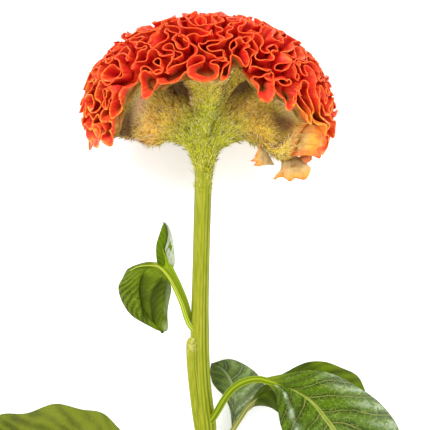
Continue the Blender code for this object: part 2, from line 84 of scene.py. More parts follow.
soft_light("key", (-0.8, 0.6, 1.0), 0.8, 19)
soft_light("right_side", (1.0, 0.5, 0.7), 0.8, 10)
soft_light("low_front", (0.3, -1.1, 1.0), 0.9, 10)

world = bpy.data.worlds.new("studio")
world.use_nodes = True
sky = world.node_tree.nodes["Background"].inputs
sky["Color"].default_value = (1, 1, 1, 1)
sky["Strength"].default_value = 0.68
scene.world = world

bm = bmesh.new()
bmesh.ops.create_grid(bm, x_segments=1, y_segments=1, size=3)
mesh = bpy.data.meshes.new("table")
bm.to_mesh(mesh)
bm.free()
table = bpy.data.objects.new("table", mesh)
scene.collection.objects.link(table)
paper = bpy.data.materials.new("white_paper")
paper.use_nodes = True
paper_finish = paper.node_tree.nodes["Principled BSDF"].inputs
paper_finish["Base Color"].default_value = (0.9, 0.9, 0.9, 1)
paper_finish["Roughness"].default_value = 0.9
# The paper glows a little, so that the ground round the flower stays white.
paper_finish["Emission Color"].default_value = (1, 1, 1, 1)
paper_finish["Emission Strength"].default_value = 0.34
table.data.materials.append(paper)

# Stem: one fleshy green stalk, ribbed along its length and cut at its lower end. It carries the head
# on its upper end and the leaves on its sides, and an old shoot's base has grown to its left side.
# Each path is places down the middle, with the radius there. The base's top is a pale corky scar.
STEM_PATH = (
    ((0.0, -2.8, 0.0), 4.2),
    ((-0.5, -14.0, 0.0), 4.1),
    ((-1.0, -30.0, 0.2), 4.1),
    ((-1.5, -50.0, 0.3), 4.1),
    ((-1.9, -68.0, 0.2), 4.2),
    ((-2.0, -79.0, 0.0), 4.5),
    ((-1.8, -90.0, 0.0), 4.4),
    ((-1.2, -104.0, 0.0), 4.4),
    ((-0.1, -116.0, 0.0), 4.7),
    ((0.8, -123.0, 0.0), 4.9),
    ((1.5, -130.0, 0.0), 4.6),
    ((2.6, -142.0, 0.0), 4.7),
    ((3.4, -151.0, 0.0), 5.1),
    ((3.9, -158.0, 0.0), 4.8),
    ((4.4, -168.4, 0.0), 4.8),
)
SPUR_PATH = (
    ((-5.4, -82.4, 2.7), 0.5),
    ((-5.6, -83.6, 2.7), 2.2),
    ((-5.6, -87.0, 2.6), 3.0),
    ((-5.2, -97.0, 2.2), 3.0),
    ((-4.0, -110.0, 1.8), 2.9),
    ((-2.7, -124.0, 1.2), 2.3),
    ((-1.0, -138.0, 0.4), 1.4),
)
STEM_RIBS = 13
STEM_GROOVES = 0.095
SPUR_GROOVES = 0.12
SCAR_END = -92.0
SCAR_FADE = 9.0
SCAR_MOST = 0.75


def curve_at(points, shares):
    """Places at these shares, 0 to 1, of the smooth curve through the points."""
    points = np.asarray(points, float)
    along = np.clip(shares, 0, 1) * (len(points) - 1)
    i = np.minimum(along.astype(int), len(points) - 2)
    t = (along - i)[:, None]
    ends = np.vstack((2 * points[0] - points[1], points, 2 * points[-1] - points[-2]))
    a, b, c, d = (ends[i + k] for k in range(4))
    bend = (2 * a - 5 * b + 4 * c - d) * t**2 + (3 * b - a - 3 * c + d) * t**3
    return 0.5 * (2 * b + (c - a) * t + bend)


def unit(vectors):
    """The same directions at length 1."""
    return vectors / np.maximum(np.linalg.norm(vectors, axis=-1, keepdims=True), 1e-9)


def after(value, start, fade, most=1):
    """0 up to start, then a straight rise by 1 over the fade, held at most."""
    return np.clip((value - start) / fade, 0, most)


def before(value, end, fade, most=1):
    """0 from end on, and a straight rise by 1 over the fade ahead of it, held at most."""
    return np.clip((end - value) / fade, 0, most)


def places(bm):
    return np.array([vertex.co for vertex in bm.verts])


def move(verts, points):
    for vertex, point in zip(verts, points):
        vertex.co = point


def set_layer(bm, name, values):
    """Gives each corner its value, or all of them the same one, for the materials to read."""
    layer = bm.verts.layers.float.new(name)
    for vertex, value in zip(bm.verts, np.broadcast_to(values, len(bm.verts))):
        vertex[layer] = value


def rod(path, sides, stations, furrow, groove):
    """A closed rod along the path: a drum cut into stations, furrowed, then bent.

    The furrow gives each place's depth from 0 to 1, and a groove of depth 1 takes that share of the radius.
    """
    bm = bmesh.new()
    bmesh.ops.create_cone(bm, cap_ends=True, segments=sides, radius1=1, radius2=1, depth=1)
    lengthwise = [edge for edge in bm.edges if abs(edge.verts[0].co.z - edge.verts[1].co.z) > 0.5]
    bmesh.ops.subdivide_edges(bm, edges=lengthwise, cuts=stations - 2, use_grid_fill=True)
    drum = places(bm)
    share, angle = 0.5 - drum[:, 2], np.arctan2(drum[:, 1], drum[:, 0])
    points = np.array([point for point, _ in path])
    radius = curve_at([[radius] for _, radius in path], share)[:, 0]
    ahead = unit(curve_at(points, share + 0.01) - curve_at(points, share - 0.01))
    across = unit(np.cross(ahead, (0, 0, 1)))
    upward = np.cross(across, ahead)
    depth = furrow(angle, share)
    radius = radius * (1 - groove * depth)
    set_layer(bm, "furrow", depth)
    ring = across * np.cos(angle)[:, None] + upward * np.sin(angle)[:, None]
    move(bm.verts, curve_at(points, share) + ring * radius[:, None])
    bmesh.ops.recalc_face_normals(bm, faces=bm.faces)
    return bm


def add_to(bm, other):
    """Puts the other mesh in bm beside what is there."""
    mesh = bpy.data.meshes.new("part")
    other.to_mesh(mesh)
    other.free()
    bm.from_mesh(mesh)
    bpy.data.meshes.remove(mesh)


def dressed(mesh, name, material, node):
    """Makes a mesh a piece of the flower, with its material and the solid that it stands for."""
    mesh.shade_smooth()
    mesh.materials.append(material)
    piece = bpy.data.objects.new(name, mesh)
    scene.collection.objects.link(piece)
    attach(piece, "root")
    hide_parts(node)
    return piece


def finished(bm, name, material, node):
    """Lays a shape on the table and dresses it."""
    bm.transform(PLACE)
    mesh = bpy.data.meshes.new(name)
    bm.to_mesh(mesh)
    bm.free()
    return dressed(mesh, name, material, node)


class Paint:
    """A material with its shader, and short calls for the nodes that colour it."""

    def __init__(self, name, roughness, gloss=0.2):
        self.material = bpy.data.materials.new(name)
        self.material.use_nodes = True
        self.nodes = self.material.node_tree.nodes
        self.links = self.material.node_tree.links
        self.shader = self.nodes["Principled BSDF"]
        self.shader.inputs["Roughness"].default_value = roughness
        self.shader.inputs["Specular IOR Level"].default_value = gloss

    @classmethod
    def on_tree(cls, tree):
        """The same calls, for the nodes of a group."""
        paint = cls.__new__(cls)
        paint.nodes, paint.links = tree.nodes, tree.links
        return paint

    def group(self, tree, inputs):
        """Places a node group with these inputs and returns its outputs."""
        node = self.nodes.new("ShaderNodeGroup")
        node.node_tree = tree
        for name, value in inputs.items():
            self.put(node.inputs[name], value)
        return list(node.outputs)

    def put(self, socket, value):
        """Links a socket to an output, or sets it to a number or colour."""
        if isinstance(value, bpy.types.NodeSocket):
            self.links.new(value, socket)
        elif isinstance(value, tuple) and len(value) == 3 and socket.type == "RGBA":
            socket.default_value = (*value, 1)
        else:
            socket.default_value = value

    def layer(self, name):
        """A value that the mesh holds."""
        node = self.nodes.new("ShaderNodeAttribute")
        node.attribute_name = name
        return node.outputs["Fac"]

    def math(self, operation, *values, clamp=False):
        node = self.nodes.new("ShaderNodeMath")
        node.operation = operation
        node.use_clamp = clamp
        for socket, value in zip(node.inputs, values):
            self.put(socket, value)
        return node.outputs[0]

    def times(self, first, second):
        return self.math("MULTIPLY", first, second)

    def plus_times(self, first, second, start):
        """The start, plus first times second."""
        return self.math("MULTIPLY_ADD", first, second, start)

    def less(self, first, second):
        return self.math("SUBTRACT", first, second)

    def opposite(self, value):
        return self.less(1.0, value)

    def between(self, value, low, high):
        """0 below low and 1 above high, with a smooth rise."""
        node = self.nodes.new("ShaderNodeMapRange")
        node.interpolation_type = "SMOOTHSTEP"
        for name, setting in (("Value", value), ("From Min", low), ("From Max", high)):
            self.put(node.inputs[name], setting)
        return node.outputs[0]

    def noise(self, scale, stretch=(1, 1, 1), detail=3.0):
        """Noise on Object coordinates, with scale in lumps a metre."""
        place = self.nodes.new("ShaderNodeTexCoord")
        mapping = self.nodes.new("ShaderNodeMapping")
        mapping.inputs["Scale"].default_value = stretch
        self.links.new(place.outputs["Object"], mapping.inputs["Vector"])
        node = self.nodes.new("ShaderNodeTexNoise")
        node.inputs["Scale"].default_value = scale
        node.inputs["Detail"].default_value = detail
        self.links.new(mapping.outputs[0], node.inputs["Vector"])
        return node.outputs[0]

    def patches(self, scale, low, high, stretch=(1, 1, 1)):
        """Patches of noise: 1 on them, 0 between them, with soft edges."""
        return self.between(self.noise(scale, stretch), low, high)

    def mix(self, share, first, second):
        node = self.nodes.new("ShaderNodeMix")
        node.data_type = "RGBA"
        for name, value in (("Factor", share), ("A", first), ("B", second)):
            self.put(node.inputs[name], value)
        return node.outputs["Result"]

    def ramp(self, value, *stops):
        """A colour for a value, from (place, colour) stops."""
        node = self.nodes.new("ShaderNodeValToRGB")
        while len(node.color_ramp.elements) < len(stops):
            node.color_ramp.elements.new(0.5)
        for element, (place, colour) in zip(node.color_ramp.elements, stops):
            element.position = place
            element.color = (*colour, 1)
        self.links.new(value, node.inputs["Fac"])
        return node.outputs["Color"]

    def colour(self, value):
        self.put(self.shader.inputs["Base Color"], value)

    def bump(self, height, distance):
        """Raises the surface by up to distance, in metres."""
        node = self.nodes.new("ShaderNodeBump")
        node.inputs["Distance"].default_value = distance
        self.links.new(height, node.inputs["Height"])
        self.links.new(node.outputs[0], self.shader.inputs["Normal"])


def stem_furrow(angle, share):
    """How deep the stem's skin lies between its ribs, which wander and are bolder on two sides."""
    wander = 0.10 * np.sin(3 * angle + 1.0) + 0.05 * np.sin(9 * share + 2 * angle)
    narrow = (0.5 + 0.5 * np.cos(STEM_RIBS * (angle + wander))) ** 3
    return narrow * (0.55 + 0.45 * np.sin(2 * angle + 2.2 + 2 * share)) * after(share, 0, 0.08)


paint = Paint("stem_green", 0.42)
streaks = paint.noise(800, (1, 0.012, 1))
body = paint.ramp(
    streaks,
    (0.3, (0.20, 0.23, 0.005)),
    (0.48, (0.26, 0.28, 0.008)),
    (0.7, (0.33, 0.33, 0.026)),
)
body = paint.mix(paint.patches(60, 0.45, 0.8, (1, 0.15, 1)), body, (0.21, 0.27, 0.006))
scar = paint.times(paint.layer("scar"), paint.patches(700, 0.42, 0.6))
body = paint.mix(scar, body, (0.62, 0.55, 0.20))
furrow = paint.math("MULTIPLY", paint.layer("furrow"), 1.1, clamp=True)
paint.colour(paint.mix(furrow, body, (0.09, 0.13, 0.002)))
paint.bump(streaks, 0.0002)

bm = rod(STEM_PATH, 104, 110, stem_furrow, STEM_GROOVES)
set_layer(bm, "scar", 0)
spur = rod(SPUR_PATH, 40, 60, stem_furrow, SPUR_GROOVES)
set_layer(spur, "scar", after(places(spur)[:, 1], SCAR_END, SCAR_FADE, SCAR_MOST))
add_to(bm, spur)
finished(bm, "stem_skin", paint.material, "stem")

# Fan: the flattened top of the stem, a hairy yellow-green funnel of the same living tissue. It spreads
# from the neck into the crest, with folds and hollows under the crest's edge, and grew as one with both.
# Angles are in degrees, and a fan's rise runs from 0 at the neck to 1 at the crest's edge.
HEAD_CENTRE = np.array((2.0, 26.0, 0.0))
DOME_RADII = np.array((55.5, 41.5, 33.5))
HEM_MEAN = 92.6
HEM_DROOP = 19.5
# Notches and tongues of the hem: (angle round the head, width, change).
HEM_NOTCHES = (
    (73, 5, -14), (129, 8, -14), (148, 9, 6), (180, 16, -6), (18, 13, -6), (97, 26, -4.5), (50, 16, -4.5),
    (238, 8, -8), (262, 7, 4), (296, 8, -9),
)
LIP_MEAN = 0.4
# Where the crest's lip overhangs a hollow of the fan: (angle round the head, width, reach).
LIP_HOLLOWS = ((115, 9, 15), (60, 8, 15), (134, 7, 5), (44, 8, 5), (240, 10, 15), (294, 10, 15))
# Folds and hollows of the fan: (angle round the head, rise, angle width, rise width, height).
FAN_FOLDS = (
    (89, 0.62, 12, 0.30, 3.2),
    (116, 0.80, 9, 0.20, -4.5),
    (60, 0.77, 8, 0.20, -4.5),
    (132, 0.83, 8, 0.14, -3.5),
    (152, 0.70, 13, 0.16, 5.5),
    (177, 0.69, 12, 0.07, 5.5),
    (180, 0.88, 16, 0.10, 3.0),
    (43, 0.80, 8, 0.16, -3.0),
    (15, 0.81, 21, 0.15, 15.5),
    (-6, 0.93, 15, 0.10, 10.0),
    (262, 0.62, 11, 0.30, 3.5),
    (239, 0.80, 9, 0.22, -4.5),
    (293, 0.80, 9, 0.22, -4.5),
    (208, 0.72, 14, 0.16, 5.0),
    (326, 0.76, 15, 0.16, 6.0),
)
FAN_INSET = 2.25
NECK_RADIUS = 4.35
NECK_Y = -3.3
FAN_RISE = 16.5
FAN_SIDES = 180
FAN_RINGS = 90
FAN_INNER_RINGS = 6


def hump(away, width):
    """1 where away is 0, and a rounded fall to 0 on both sides."""
    return np.exp(-((away / width) ** 2))


def bell(angle, centre, width):
    """A hump at the centre, for angles in degrees."""
    return hump((angle - centre + 180) % 360 - 180, width)


def hem_angle(around):
    """How far down from the crown the hem lies."""
    turn = np.radians(around)
    droop = HEM_DROOP * np.cos(2 * turn) + 0.9 * np.sin(13 * turn) + 0.6 * np.sin(22 * turn + 1)
    return HEM_MEAN + droop + sum(change * bell(around, at, width) for at, width, change in HEM_NOTCHES)


def lip_angle(around):
    """How far down from the crown the fan meets the crest, a lip's width above the hem."""
    reach = LIP_MEAN + sum(more * bell(around, at, width) for at, width, more in LIP_HOLLOWS)
    return hem_angle(around) - reach


def dome_points(around, down, inset=0.0):
    """Points of the dome: around the head from +X towards +Z, and down from the crown, in degrees."""
    a, d = np.radians(around), np.radians(down)
    ball = np.stack((np.sin(d) * np.cos(a), np.cos(d), np.sin(d) * np.sin(a)), -1)
    inset = np.broadcast_to(inset, np.shape(d))[..., None]
    return HEAD_CENTRE + ball * (DOME_RADII - inset)


def fan_inset(around):
    """The fan's edge is flush with the comb's skin, and beneath it where the hem overhangs a hollow."""
    overhang = hem_angle(around) - lip_angle(around) - LIP_MEAN
    return FAN_INSET + 0.7 * after(overhang, 0, 3)


def dome_normals(points):
    return unit((points - HEAD_CENTRE) / DOME_RADII**2)


def waves(points, length, seed, count=60):
    """A smooth random field of about -2 to 2: plane waves of one length, added together."""
    rng = np.random.default_rng(seed)
    ways = unit(rng.normal(size=(count, 3)))
    turns = points @ ways.T * (2 * np.pi / length) + rng.uniform(0, 2 * np.pi, count)
    return np.cos(turns).sum(-1) * math.sqrt(2 / count)


def fan_base(around, rise):
    """The fan without its folds: rise is 0 at the neck and 1 at the comb."""
    a = np.radians(around)
    ring = np.stack((np.cos(a), 0 * a, np.sin(a)), -1)
    neck = ring * NECK_RADIUS + np.array((0, NECK_Y, 0))
    edge = dome_points(around, lip_angle(around), fan_inset(around))
    bend = ring * (NECK_RADIUS + 1)
    bend[:, 1] += FAN_RISE + 0.2 * edge[:, 1]
    rise = rise[:, None]
    return neck * (1 - rise) ** 2 + bend * 2 * rise * (1 - rise) + edge * rise**2


def fan_spots(spots, around, rise):
    """The sum of rounded spots on the fan: (angle, rise, angle width, rise width, strength) each."""
    return sum(
        strength * bell(around, at, width) * hump(rise - place, spread)
        for at, place, width, spread, strength in spots
    )


def fan_points(around, rise):
    """The folded skin of the fan, with its way up and its way out."""
    along = fan_base(around, rise + 0.01) - fan_base(around, rise - 0.01)
    across = fan_base(around + 1, rise) - fan_base(around - 1, rise)
    outward = unit(np.cross(along, across))
    hold = 1 - (2 * np.clip(rise, 0, 1) - 1) ** 6
    base = fan_base(around, rise)
    skin = 0.35 * waves(base, 11.0, 5) + 0.18 * waves(base, 5.0, 6)
    lift = (fan_spots(FAN_FOLDS, around, rise) + skin) * hold
    return base + outward * lift[:, None], unit(along), outward


def warped_sphere(sides, rings, place):
    """A ball whose rings, numbered from its top pole, go where place(around, ring) says."""
    bm = bmesh.new()
    bmesh.ops.create_uvsphere(bm, u_segments=sides, v_segments=rings, radius=1)
    ball = places(bm)
    ring = np.round(np.degrees(np.arccos(np.clip(ball[:, 2], -1, 1))) / 180 * rings)
    around = -np.degrees(np.arctan2(ball[:, 1], ball[:, 0]))
    move(bm.verts, place(around, ring))
    bmesh.ops.recalc_face_normals(bm, faces=bm.faces)
    return bm, around, ring


def fan_rise(ring):
    return np.clip(1 - (ring - FAN_INNER_RINGS) / FAN_RINGS, 0, 1) ** 0.85


def fan_place(around, ring):
    """The fan's outer skin, and the inner one that closes it under the crest."""
    inset = fan_inset(around) + 2.0 * (ring < FAN_INNER_RINGS)
    inner = dome_points(around, lip_angle(around) * np.minimum(ring / FAN_INNER_RINGS, 1), inset)
    outer = fan_points(around, fan_rise(ring))[0]
    outer[ring > FAN_INNER_RINGS + FAN_RINGS] = (0, NECK_Y - 0.6, 0)
    return np.where((ring <= FAN_INNER_RINGS)[:, None], inner, outer)


# Where the skin has another tint: (angle round the head, rise, angle width, rise width, strength).
FAN_TINTS = {
    # Painted shade: dark brown in the hollows under the crest's overhanging lip.
    "hollow_shade": (
        (118, 0.88, 8, 0.14, 1.3), (125, 0.74, 8, 0.09, 0.75), (113, 0.72, 5, 0.14, 0.85),
        (60, 0.90, 7, 0.14, 1.3), (62, 0.72, 6, 0.14, 0.9), (143, 0.97, 7, 0.06, 1.0),
        (151, 0.95, 8, 0.06, 0.8), (36, 0.88, 7, 0.05, 0.8), (33, 0.94, 5, 0.05, 0.9),
        (42, 0.80, 6, 0.07, 0.4), (170, 0.90, 12, 0.07, 0.7), (240, 0.82, 10, 0.18, 1.0),
        (294, 0.78, 10, 0.18, 0.9),
    ),
    "tan": (
        (146, 0.79, 12, 0.09, 1.0), (20, 0.62, 16, 0.10, 0.5), (107, 0.74, 6, 0.16, 0.7),
        (52, 0.72, 7, 0.16, 0.6), (35, 0.76, 14, 0.12, 0.55), (130, 0.62, 10, 0.12, 0.5),
        (205, 0.75, 20, 0.14, 0.8), (330, 0.78, 16, 0.12, 0.7),
    ),
    "pale": (
        (137, 0.91, 8, 0.07, 1.0), (42, 0.98, 9, 0.06, 1.0), (90, 0.98, 16, 0.04, 0.5),
        (20, 0.93, 10, 0.05, 0.7), (52, 0.92, 6, 0.05, 0.5), (220, 0.94, 14, 0.05, 0.8),
        (315, 0.95, 14, 0.05, 0.8),
    ),
    "gold": ((8, 0.99, 15, 0.09, 1.0), (22, 0.99, 8, 0.05, 0.7)),
}


def fan_tint(name, around, rise):
    return np.clip(fan_spots(FAN_TINTS[name], around, rise), 0, 1)


def trunk(around):
    """The front rib of the fan, which is greener than its sides."""
    return bell(around, 88, 15)


paint = Paint("fan_skin", 0.6)
fine = paint.noise(1100, detail=2)
broad = paint.noise(120)
upper = paint.between(paint.plus_times(broad, 0.3, paint.layer("rise")), 0.50, 0.95)
green = paint.ramp(fine, (0.35, (0.21, 0.22, 0.004)), (0.65, (0.48, 0.46, 0.016)))
olive = paint.ramp(fine, (0.35, (0.36, 0.26, 0.010)), (0.65, (0.70, 0.52, 0.05)))
tan = paint.ramp(fine, (0.35, (0.40, 0.17, 0.014)), (0.65, (0.74, 0.42, 0.07)))
pale = paint.ramp(broad, (0.35, (0.48, 0.36, 0.12)), (0.5, (0.62, 0.42, 0.20)), (0.65, (0.66, 0.34, 0.19)))
# Painted shade of the hollows, dark brown.
hollow_shade = paint.ramp(fine, (0.3, (0.025, 0.008, 0.001)), (0.7, (0.11, 0.04, 0.006)))
gold = paint.ramp(broad, (0.35, (0.78, 0.40, 0.06)), (0.65, (0.85, 0.24, 0.03)))
skin = paint.mix(upper, green, olive)
tints = (("tan", tan, 0.9), ("pale", pale, 1.0), ("hollow_shade", hollow_shade, 0.95), ("gold", gold, 1.0))
for name, tint, strength in tints:
    skin = paint.mix(paint.times(paint.layer(name), strength), skin, tint)
paint.colour(skin)
paint.bump(fine, 0.0004)

bm, around, ring = warped_sphere(FAN_SIDES, FAN_INNER_RINGS + FAN_RINGS + 1, fan_place)
rise = fan_rise(ring)
set_layer(bm, "rise", rise - 0.25 * trunk(around))
for name in FAN_TINTS:
    set_layer(bm, name, fan_tint(name, around, rise))
finished(bm, "fan_skin", paint.material, "fan")

# Hairs of the fan and the neck: soft pale bristles of the plant's own skin, 2 to 3 mm long. They lean up
# the funnel and stand away from its lower lobes, and some are stiffer, darker and stand out further.
FAN_HAIRS = 9000
FAN_STIFF = 0.14
# The share of dark hairs, which are painted shade between the pale ones.
FAN_DARK = 0.23
NECK_HAIRS = 240
NECK_STIFF = 0.35
NECK_REACH = 0.07
NECK_SKIN = 4.0
HAIR_LENGTH = (1.7, 3.2)
# A hair's radius at its root, as a share of its length.
HAIR_RADIUS = 0.058
HAIR_CLEARANCE = 0.0001


def hair_shape():
    """One straight three-sided bristle, 1 long: its corners and faces."""
    bm = bmesh.new()
    bmesh.ops.create_cone(bm, cap_ends=True, segments=3, radius1=1, radius2=0, depth=1)
    sides = [edge for edge in bm.edges if abs(edge.verts[0].co.z - edge.verts[1].co.z) > 0.5]
    bmesh.ops.subdivide_edges(bm, edges=sides, cuts=1)
    bmesh.ops.translate(bm, verts=bm.verts, vec=(0, 0, 0.5))
    bmesh.ops.recalc_face_normals(bm, faces=bm.faces)
    bm.verts.index_update()
    corners = places(bm)
    faces = [[vertex.index for vertex in face.verts] for face in bm.faces]
    bm.free()
    return corners, faces


def hairs(name, roots, ways, bends, lengths, shades, tans, node):
    """A coat of bristles as one piece. Each leans along its way and curves towards its bend."""
    corners, faces = hair_shape()
    aside = unit(np.cross(ways, bends) + 1e-6)
    over = np.cross(ways, aside)
    up = corners[:, 2][None, :, None]
    line = roots[:, None] + (ways[:, None] * up + bends[:, None] * 0.45 * up**2) * lengths[:, None, None]
    width = corners[None, :, 0, None] * aside[:, None] + corners[None, :, 1, None] * over[:, None]
    points = (line + width * HAIR_RADIUS * lengths[:, None, None]).reshape(-1, 3)
    points = points @ np.array(PLACE.to_3x3()).T + np.array(PLACE.translation)
    points[:, 2] = np.maximum(points[:, 2], HAIR_CLEARANCE)
    first = np.arange(len(roots)) * len(corners)
    mesh = bpy.data.meshes.new(name)
    mesh.from_pydata(points, [], [[start + i for i in face] for start in first.tolist() for face in faces])
    for layer, values in (
        ("shade", np.repeat(shades, len(corners))),
        ("tan", np.repeat(tans, len(corners))),
        ("tip", np.tile(corners[:, 2], len(roots))),
    ):
        mesh.attributes.new(layer, "FLOAT", "POINT").data.foreach_set("value", values)
    dressed(mesh, name, hair_material, node)


paint = Paint("pale_hair", 0.5)
shade = paint.layer("shade")
green = paint.ramp(
    shade,
    (0.0, (0.11, 0.13, 0.003)),
    (0.3, (0.30, 0.32, 0.006)),
    (0.55, (0.80, 0.77, 0.05)),
    (0.8, (1.0, 0.96, 0.24)),
    (1.0, (1.0, 0.99, 0.60)),
)
tan = paint.ramp(
    shade,
    (0.0, (0.16, 0.05, 0.006)),
    (0.3, (0.44, 0.17, 0.014)),
    (0.55, (0.80, 0.42, 0.08)),
    (0.8, (0.98, 0.73, 0.30)),
    (1.0, (1.0, 0.97, 0.56)),
)
hair = paint.mix(paint.layer("tan"), green, tan)
# Painted highlight: hairs are paler towards their tips, less so the dark ones.
tip = paint.times(paint.layer("tip"), paint.times(shade, 0.5))
paint.colour(paint.mix(tip, hair, (0.94, 0.88, 0.60)))
hair_material = paint.material

rng = np.random.default_rng(7)
tries = 4 * FAN_HAIRS
around = rng.uniform(0, 360, tries)
rise = rng.uniform(0.0, 1.0, tries)
roots = fan_points(around, rise)[0]
ahead = fan_points(around, np.minimum(rise + 0.01, 1))[0] - fan_points(around, rise - 0.01)[0]
aside = fan_points(around + 1, rise)[0] - fan_points(around - 1, rise)[0]
normal = np.cross(ahead, aside)
area = np.linalg.norm(normal, axis=1)
bare = np.maximum(fan_tint("pale", around, rise), fan_tint("gold", around, rise))
# Few hairs grow in the painted shade of the hollows, so that it shows.
hollow_shade = fan_tint("hollow_shade", around, rise)
grows = area / np.quantile(area, 0.9) * (1 - 0.9 * bare) * (1 - 0.93 * hollow_shade)
kept = rng.uniform(0, 1, tries) < grows
kept[np.cumsum(kept) > FAN_HAIRS] = False
around, rise, roots, hollow_shade = around[kept], rise[kept], roots[kept], hollow_shade[kept]
outward, along = unit(normal[kept]), unit(ahead[kept])
stiff = rng.uniform(0, 1, len(roots)) < FAN_STIFF
stand = 0.4 + 0.35 * after(rise, 0.45, 0.3) + 0.5 * bell(around, 15, 25) * (rise > 0.6) + 0.8 * stiff
spread = 0.12 * rng.normal(size=(len(roots), 3))
ways = unit(along + outward * stand[:, None] + spread)
bends = along * 0.3 - outward * 0.1 + 0.14 * rng.normal(size=(len(roots), 3))
lengths = rng.uniform(*HAIR_LENGTH, len(roots)) * (1 + 0.25 * stiff)
tans = (rise - 0.4) / 0.5 - 0.5 * trunk(around) + 0.6 * fan_tint("tan", around, rise) + hollow_shade
tans = np.clip(tans + rng.normal(0, 0.2, len(roots)), 0, 1)
# A share of the hairs are dark, standing for the shade in the gaps between pale hairs: painted shade. Stiff
# hairs are dark too.
dark = rng.uniform(0, 1, len(roots)) < FAN_DARK
shades = np.where(dark | stiff, rng.normal(0.2, 0.08, len(roots)), rng.normal(0.8, 0.12, len(roots)))
# Hairs are darker in the hollows, as painted shade there, and a little darker low on the funnel.
shades = np.clip(shades - 0.6 * hollow_shade - 0.1 * (rise < 0.3), 0, 1)
hairs("fan_hairs", roots - outward * 0.15, ways, bends, lengths, shades, tans, "fan")

share = NECK_REACH * rng.uniform(0, 1, NECK_HAIRS) ** 2.2
angle = rng.uniform(0, 2 * np.pi, NECK_HAIRS)
centres = curve_at([point for point, _ in STEM_PATH], share)
outward = np.stack((np.cos(angle), 0 * angle, np.sin(angle)), -1)
roots = centres + outward * NECK_SKIN
stiff = rng.uniform(0, 1, NECK_HAIRS) < NECK_STIFF
stand = np.where(stiff, 1.7, 0.4)[:, None]
ways = unit(stand * outward + np.array((0, 1, 0)) + 0.2 * rng.normal(size=roots.shape))
bends = np.array((0, 0.3, 0)) + 0.3 * rng.normal(size=roots.shape)
lengths = rng.uniform(1.5, 2.8, NECK_HAIRS) + 2.2 * (rng.uniform(0, 1, NECK_HAIRS) > 0.95)
shades = np.where(stiff, rng.uniform(0.1, 0.35, NECK_HAIRS), rng.uniform(0.4, 0.9, NECK_HAIRS))
hairs("neck_hairs", roots, ways, bends, lengths, shades, np.zeros(NECK_HAIRS), "stem")

# Comb: the crest itself, one sheet of red-orange flower tissue that has grown so fast along its edge
# that it stands in a maze of thin folded walls. Each wall has a thicker, brighter, rounded rim. The
# walls grow from a closed skin over the head and end in one ruffled wall round the hem.
SKIN_INSET = 2.3
SKIN_THICKNESS = 1.8
SKIN_SIDES = 120
SKIN_RINGS = 26
LIP_RINGS = 8
# The maze's stripe width, its hem's place and the width and depth of the hem's cups, in millimetres.
FOLD_LENGTH = 5.3
HEM_LINE = 1.9
HEM_CUP = 12.5
CUP_DEPTH = 1.6
MM_PER_DEGREE = 0.8
# The flat map that the maze is drawn on: its half width in degrees from the crown, and its steps.
MAP_REACH = 119.0
MAP_STEPS = 238
# How the maze grows: each place is pulled towards its near neighbours and away from its far ones.
GROWTH_STEPS = 6
GROWTH_REACH = 9
GROWTH_GAIN = 7
NEAR_PULL = 0.175
FAR_PUSH = 0.28
HEM_FADE = 0.6
WALL_HEIGHT = 5.2
WALL_ROOT = 0.62
# Each level of a wall: its share of the height, and its thickness as a share of the rim's.
WALL_LEVELS = (
    (-WALL_ROOT, 0.7), (-0.1, 0.62), (0.35, 0.6), (0.72, 0.65), (0.92, 0.95), (1.0, 1.0), (1.04, 0.5),
)
RIM_THICKNESS = 0.58
TABLE_CLEARANCE = 0.0006


def skin_place(around, ring):
    """The crest's outer skin, and the inner one under its lip."""
    outer = dome_points(around, hem_angle(around) * np.minimum(ring / SKIN_RINGS, 1), SKIN_INSET)
    share = np.clip((SKIN_RINGS + 1 + LIP_RINGS - ring) / LIP_RINGS, 0, 1)
    inner = dome_points(around, lip_angle(around) * share, SKIN_INSET + SKIN_THICKNESS)
    return np.where((ring <= SKIN_RINGS)[:, None], outer, inner)


def growth_field(points, area, around, down):
    """A field on the map, drawn out into stripes of one width, as growing tissue folds.

    The walls' feet are its zero lines. Beyond the hem it is held down, so that one line follows the hem
    in a row of cups.
    """
    edge = hem_angle(around) - down
    length = FOLD_LENGTH * (1 + 0.12 * waves(points, 26.0, 20) + 0.22 * hump(edge, 12))
    hem_line = dome_points(np.arange(361.0), hem_angle(np.arange(361.0)))
    along_hem = np.append(0, np.cumsum(np.linalg.norm(np.diff(hem_line, axis=0), axis=1)))
    cups = round(along_hem[-1] / HEM_CUP)
    turn = np.interp(around % 360, np.arange(361), along_hem / along_hem[-1]) * 2 * np.pi * cups
    scallop = np.sin(turn + 0.8 * waves(points, 30.0, 31))
    inside = edge * MM_PER_DEGREE + CUP_DEPTH * scallop - HEM_LINE
    field = waves(points, FOLD_LENGTH, 21)
    bias = 0.35 * waves(points, 8.0, 22)
    reach = range(-GROWTH_REACH, GROWTH_REACH + 1)
    shifts = [(i, j) for i in reach for j in reach]
    near, far = [], []
    for shift in shifts:
        away = ((np.roll(points, shift, (0, 1)) - points) ** 2).sum(-1) / length**2
        spread = np.roll(area, shift, (0, 1))
        near.append(np.exp(-away / (2 * NEAR_PULL**2)) * spread)
        far.append(np.exp(-away / (2 * FAR_PUSH**2)) * spread)
    kernel = np.array(near) / sum(near) - np.array(far) / sum(far)
    for _ in range(GROWTH_STEPS):
        field[(inside > 0.8) & (inside < 4.2) & (scallop > 0.3)] = 1
        field[(inside > 0.8) & (inside < 6.5) & (scallop > 0.85)] = 1
        field[(inside < 3.0) & (scallop < -0.85)] = -1
        field[inside < 0] = -1
        pulled = np.zeros_like(field)
        for weight, shift in zip(kernel, shifts):
            pulled += weight * np.roll(field, shift, (0, 1))
        field = np.tanh(GROWTH_GAIN * pulled + bias)
    hold = before(inside, HEM_FADE, HEM_FADE)
    return hold * np.clip(inside / HEM_FADE, -1, 1) + (1 - hold) * field


def map_angles(flat):
    """The angles around the head and down from the crown of places on the flat map."""
    return np.degrees(np.arctan2(flat[..., 1], flat[..., 0])), np.hypot(flat[..., 0], flat[..., 1])


